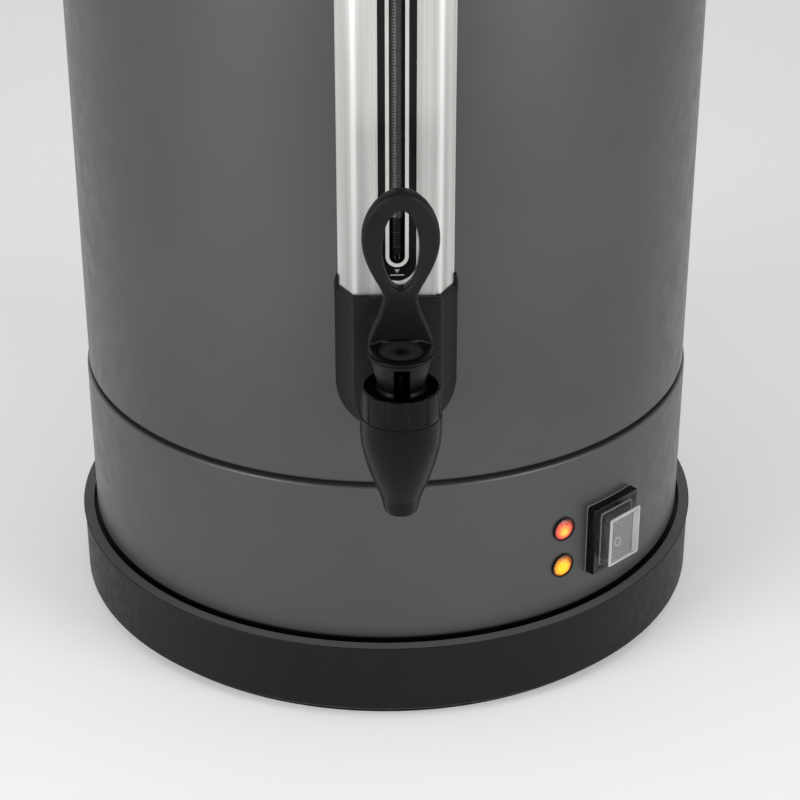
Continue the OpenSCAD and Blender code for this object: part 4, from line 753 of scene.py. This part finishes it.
def coffee_column():
    """Coffee standing in the tube, with a small hollow meniscus."""
    r = TUBE_R - TUBE_WALL + 0.02
    z0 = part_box("gauge_tube")[0][2] / MM + 2
    outline = [(0.0, z0), (r, z0), (r, COFFEE_Z + 0.7), (r - 0.35, COFFEE_Z + 0.2), (r - 0.9, COFFEE_Z),
               (0.0, COFFEE_Z)]
    return turned("coffee_column", outline, 40, (0.0, -TUBE_P))


added(new_piece("coffee_column", coffee_column()), "urn", "gauge_glass", coffee)


def socket_ids(group):
    return {item.name: item.identifier for item in group.interface.items_tree if item.in_out == "INPUT"}


def tick_tree():
    """Short bars set one above the other."""
    tree = bpy.data.node_groups.new("scale ticks", "GeometryNodeTree")
    tree.interface.new_socket("Geometry", in_out="INPUT", socket_type="NodeSocketGeometry")
    for label, kind, value in (("Count", "NodeSocketInt", 10), ("Pitch", FLOAT, 0.001), ("Width", FLOAT, 0.002),
                               ("Thickness", FLOAT, 0.0004), ("Depth", FLOAT, 0.0001),
                               ("Ink", "NodeSocketMaterial", None)):
        socket = tree.interface.new_socket(label, in_out="INPUT", socket_type=kind)
        if value is not None:
            socket.default_value = value
    tree.interface.new_socket("Geometry", in_out="OUTPUT", socket_type="NodeSocketGeometry")
    n, link = tree.nodes.new, tree.links.new
    inp, out = n("NodeGroupInput"), n("NodeGroupOutput")
    rows = n("GeometryNodeMeshLine")
    rows.mode = "OFFSET"
    link(inp.outputs["Count"], rows.inputs["Count"])
    step = n("ShaderNodeCombineXYZ")
    link(inp.outputs["Pitch"], step.inputs["Z"])
    link(step.outputs[0], rows.inputs["Offset"])
    bar = n("GeometryNodeMeshCube")
    size = n("ShaderNodeCombineXYZ")
    link(inp.outputs["Width"], size.inputs["X"])
    link(inp.outputs["Depth"], size.inputs["Y"])
    link(inp.outputs["Thickness"], size.inputs["Z"])
    link(size.outputs[0], bar.inputs["Size"])
    bar.inputs["Vertices X"].default_value = 7
    place = n("GeometryNodeInstanceOnPoints")
    link(rows.outputs[0], place.inputs["Points"])
    link(bar.outputs[0], place.inputs["Instance"])
    real = n("GeometryNodeRealizeInstances")
    link(place.outputs[0], real.inputs[0])
    paint = n("GeometryNodeSetMaterial")
    link(real.outputs[0], paint.inputs["Geometry"])
    link(inp.outputs["Ink"], paint.inputs["Material"])
    link(paint.outputs[0], out.inputs[0])
    return tree


TICKS = tick_tree()


def ticks(name, count, pitch, width, thickness, ink, place):
    """A row of scale marks, wrapped by place from flat millimetres to the urn."""
    piece = new_piece(name, bpy.data.meshes.new(name), smooth=False)
    maker = piece.modifiers.new("marks", "NODES")
    maker.node_group = TICKS
    ids = socket_ids(TICKS)
    for label, value in (("Count", count), ("Pitch", pitch * MM), ("Width", width * MM), ("Thickness", thickness * MM),
                         ("Depth", PRINT * MM), ("Ink", ink)):
        maker[ids[label]] = value
    baked(piece)
    for vertex in piece.data.vertices:
        x, y, z = vertex.co / MM
        vertex.co = place(x, -y, z)
    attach(piece, "urn")


def on_tube(z0, offset, lift):
    """Wraps flat marks around the front of the tube."""
    def place(x, out, z):
        a = (x + offset) / TUBE_R
        r = TUBE_R + lift + out
        return Vector((r * math.sin(a), -TUBE_P - r * math.cos(a), z0 + z)) * MM
    return place


def behind_tube():
    """A thin pale shell around the rear of the tube."""
    inner, outer, foot = TUBE_R + 0.02, TUBE_R + 0.14, STRIPE_LOW - 2
    outline = [(inner, foot), (outer, foot), (outer, STRIPE_TOP), (inner, STRIPE_TOP)]
    return turned("tube_back", outline, 24, (0.0, -TUBE_P), 80, 200)


added(new_piece("tube_back", behind_tube()), "urn", "window_black", tube_back)
for name, low, high, ink, width, offset in (("stripe_low", STRIPE_LOW, COFFEE_Z, deep_stripe, 7.4, 0.0),
                                            # the high stripe carries the painted highlight on the glass above the
                                            # coffee
                                            ("stripe_high", COFFEE_Z, STRIPE_TOP, painted_highlight_stripe, 3.3, -2.1),
                                            ("stripe_glass", COFFEE_Z, STRIPE_TOP, milky_glass, 4.2, 1.7)):
    ticks(name, 1, 1.0, width, high - low, ink, on_tube((low + high) / 2, offset, 0.04))
ticks("scale_fine", TICKS_FINE, TICK_PITCH, 0.95, 0.5, dark_print, on_tube(TICK_Z0, -1.2, 0.1))
ticks("scale_coarse", TICKS_COARSE, 5 * TICK_PITCH, 2.8, 0.5, dark_print, on_tube(TICK_Z0, -0.5, 0.1))


# ---------------------------------------------------------------- switch

frame_piece = eased("switch_frame", ["switch_body"], 0.5, "urn", 30.0, 3)
dress(frame_piece, "switch_plastic")


def on_switch(u, v, reach):
    return around(SWITCH_AZ, reach, SWITCH_Z + v, u)


def frame_foot():
    """The thin lip where the switch's frame meets the curved band."""
    lip = 0.4

    def on_band(u, v, rise):
        return around(SWITCH_AZ, math.sqrt(BAND_R ** 2 - u ** 2) + rise, SWITCH_Z + v, u)

    loops = ((0.0, 0.02), (2 * lip, 0.02), (2 * lip, 0.25), (lip, lip), (0.0, lip))
    loops = [(FRAME_W + grow, FRAME_H + grow, 1.0, rise) for grow, rise in loops]
    return lofted("frame_foot", loops, on_band, 12)


# the frame's foot carries the painted highlight
added(new_piece("frame_foot", frame_foot(), smooth=False), "urn", "switch_plastic", frame_foot_painted_highlight)


def splash_cover():
    """Clear moulded hood over the rocker: thick milky edges, clear walls and a frosted front."""
    foot, front = SWITCH_FRONT, SWITCH_FRONT + COVER_RISE

    def ring(name, width, height, loops):
        return lofted(name, [(width - less, height - less, r, reach) for less, r, reach in loops], on_switch)

    w, h = COVER_W - 0.5, COVER_H - 0.5
    fw, fh = COVER_W - 1.1, COVER_H - 2.5
    wall, edge = 2.4, 2.6
    walls = lofted("cover_walls", [
        (w, h, 1.0, foot), (fw, fh, 0.9, front - 0.5), (fw - wall, fh - wall, 0.5, front - 1.0),
        (w - wall, h - wall, 0.6, foot)], on_switch)
    rims = ring("cover_rims", fw, fh, [
        (-0.1, 0.9, front - 0.6), (-0.1, 0.9, front - 0.3), (0.4, 0.8, front), (edge, 0.5, front),
        (edge + 0.3, 0.4, front - 0.3), (edge + 0.3, 0.4, front - 1.5)])
    base = ring("cover_base", COVER_W, COVER_H, [
        (0.0, 1.0, foot - 0.6), (0.0, 1.0, foot + 0.3), (0.3, 0.9, foot + 0.5), (0.7, 0.6, foot + 0.5),
        (1.0, 0.5, foot - 0.6)])
    pane = plate("cover_front", box_outline((fw - edge - 0.3) / 2, (fh - edge - 0.3) / 2, 0.4), [],
                 lambda u, v, t: on_switch(u, v, front - 0.9 + t), 0.6)
    x1, taller = (fw - edge) / 2, (fh - edge) / (fw - edge)
    x0, y1 = x1 - SIDE_SEEN, x1 - 0.4
    side = plate("cover_side", [(x0, -y1), (x1, -y1), (x1, y1), (x0, y1)], [],
                 lambda u, v, t: on_switch(u, v * taller, front - 0.2 + t), 0.1)
    return [(walls, clear_wall), (rims, milky_edge), (base, faint_edge), (pane, None), (side, soft_side)]


for mesh, look in splash_cover():
    cover_part = new_piece(mesh.name, mesh, smooth=False)
    added(cover_part, "urn", "splash_cover", look)
    if mesh.name == "cover_walls":
        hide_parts("switch_cover")


def on_rocker(u, v, t):
    """A place on the rocker's two sloping faces, in its rest pose."""
    tilt = math.radians(ROCKER_TILT)
    out = ROCKER_FACE + math.tan(abs(tilt)) * abs(v) + t
    reach = out * math.cos(tilt) + v * math.sin(tilt)
    height = v * math.cos(tilt) - out * math.sin(tilt)
    return around(SWITCH_AZ, ROCKER_PIVOT + reach, SWITCH_Z + height, u)


def ring_outline(r, z, steps=36):
    return arc(r, 0, 360, steps, (0.0, z))[:-1]


off_mark = plate("off_mark", ring_outline(2.3, -5.6), [ring_outline(1.6, -5.6)], on_rocker, PRINT)
on_mark = plate("on_mark", [(-0.35, 3.8), (0.35, 3.8), (0.35, 7.4), (-0.35, 7.4)], [], on_rocker, PRINT)
for mesh in (off_mark, on_mark):
    added(new_piece(mesh.name, mesh, smooth=False), "rocker", "switch_plastic", white_print)


# ---------------------------------------------------------------- stage and light

def seen_ray(tree):
    """1 for rays from the camera, off gloss or through glass, which show the white studio."""
    path = tree.nodes.new("ShaderNodeLightPath").outputs
    either = math_node(tree, "MAXIMUM", path["Is Camera Ray"], path["Is Glossy Ray"])
    return math_node(tree, "MAXIMUM", either, path["Is Transmission Ray"])


def backdrop():
    floor = turned("floor", [(0.0, -2.0), (1800.0, -2.0), (1800.0, -0.02), (0.0, -0.02)], 96)
    piece = new_piece("floor", floor, smooth=False)
    f = Finish("pale floor", Roughness=0.8, Specular_IOR_Level=0.1, Emission_Strength=0.2)
    tone = f.two_tone(f.group(GRAIN, Fineness=400.0, Slow=2.0)["Tone"], "#f8f8f8", "#f4f4f4")
    f.fill(Base_Color=tone, Emission_Color=f.blend(seen_ray(f.tree), tint("#000000"), tone))
    piece.data.materials.append(f.material)


AMBIENT = 0.45                      # light of the studio on matt surfaces
OVERHEAD = (0.1, 0.6, 1.0, 0.25)    # between which heights of the sky its sheen falls, from what to what


def sky():
    """White studio: pale all round, dimmer overhead in the sheen of glossy parts."""
    world = bpy.data.worlds.new("studio")
    bpy.context.scene.world = world
    world.use_nodes = True
    tree = world.node_tree
    tree.nodes.clear()
    path = tree.nodes.new("ShaderNodeLightPath").outputs
    split = tree.nodes.new("ShaderNodeSeparateXYZ")
    tree.links.new(tree.nodes.new("ShaderNodeTexCoord").outputs["Generated"], split.inputs[0])
    overhead = tree.nodes.new("ShaderNodeMapRange")
    tree.links.new(split.outputs["Z"], overhead.inputs["Value"])
    for label, number in zip(("From Min", "From Max", "To Min", "To Max"), OVERHEAD):
        overhead.inputs[label].default_value = number
    strength = AMBIENT
    for ray, level in (("Is Glossy Ray", overhead.outputs["Result"]), ("Is Camera Ray", 1.0),
                       ("Is Transmission Ray", 1.0)):
        mix = tree.nodes.new("ShaderNodeMix")
        for i, value in ((0, path[ray]), (2, strength), (3, level)):
            feed(tree, value, mix.inputs[i])
        strength = mix.outputs[0]
    light = tree.nodes.new("ShaderNodeBackground")
    light.inputs["Color"].default_value = (1.0, 1.0, 1.0, 1.0)
    tree.links.new(strength, light.inputs["Strength"])
    out = tree.nodes.new("ShaderNodeOutputWorld")
    tree.links.new(light.outputs[0], out.inputs["Surface"])


def softbox(name, side, power):
    """A tall light in front of the urn, on one side of it, aimed at its middle."""
    place, aim = Vector((side * 1.25, -1.1, 0.7)), Vector((0.0, 0.0, 0.2))
    lamp = bpy.data.lights.new(name, "AREA")
    lamp.shape = "RECTANGLE"
    lamp.size, lamp.size_y = 0.9, 1.1
    lamp.energy = power
    obj = bpy.data.objects.new(name, lamp)
    bpy.context.collection.objects.link(obj)
    obj.location = place
    obj.rotation_euler = (aim - place).to_track_quat("-Z", "Y").to_euler()


backdrop()
sky()
softbox("left_softbox", -1, 16)
softbox("right_softbox", 1, 13)
bpy.context.scene.view_settings.view_transform = "Standard"
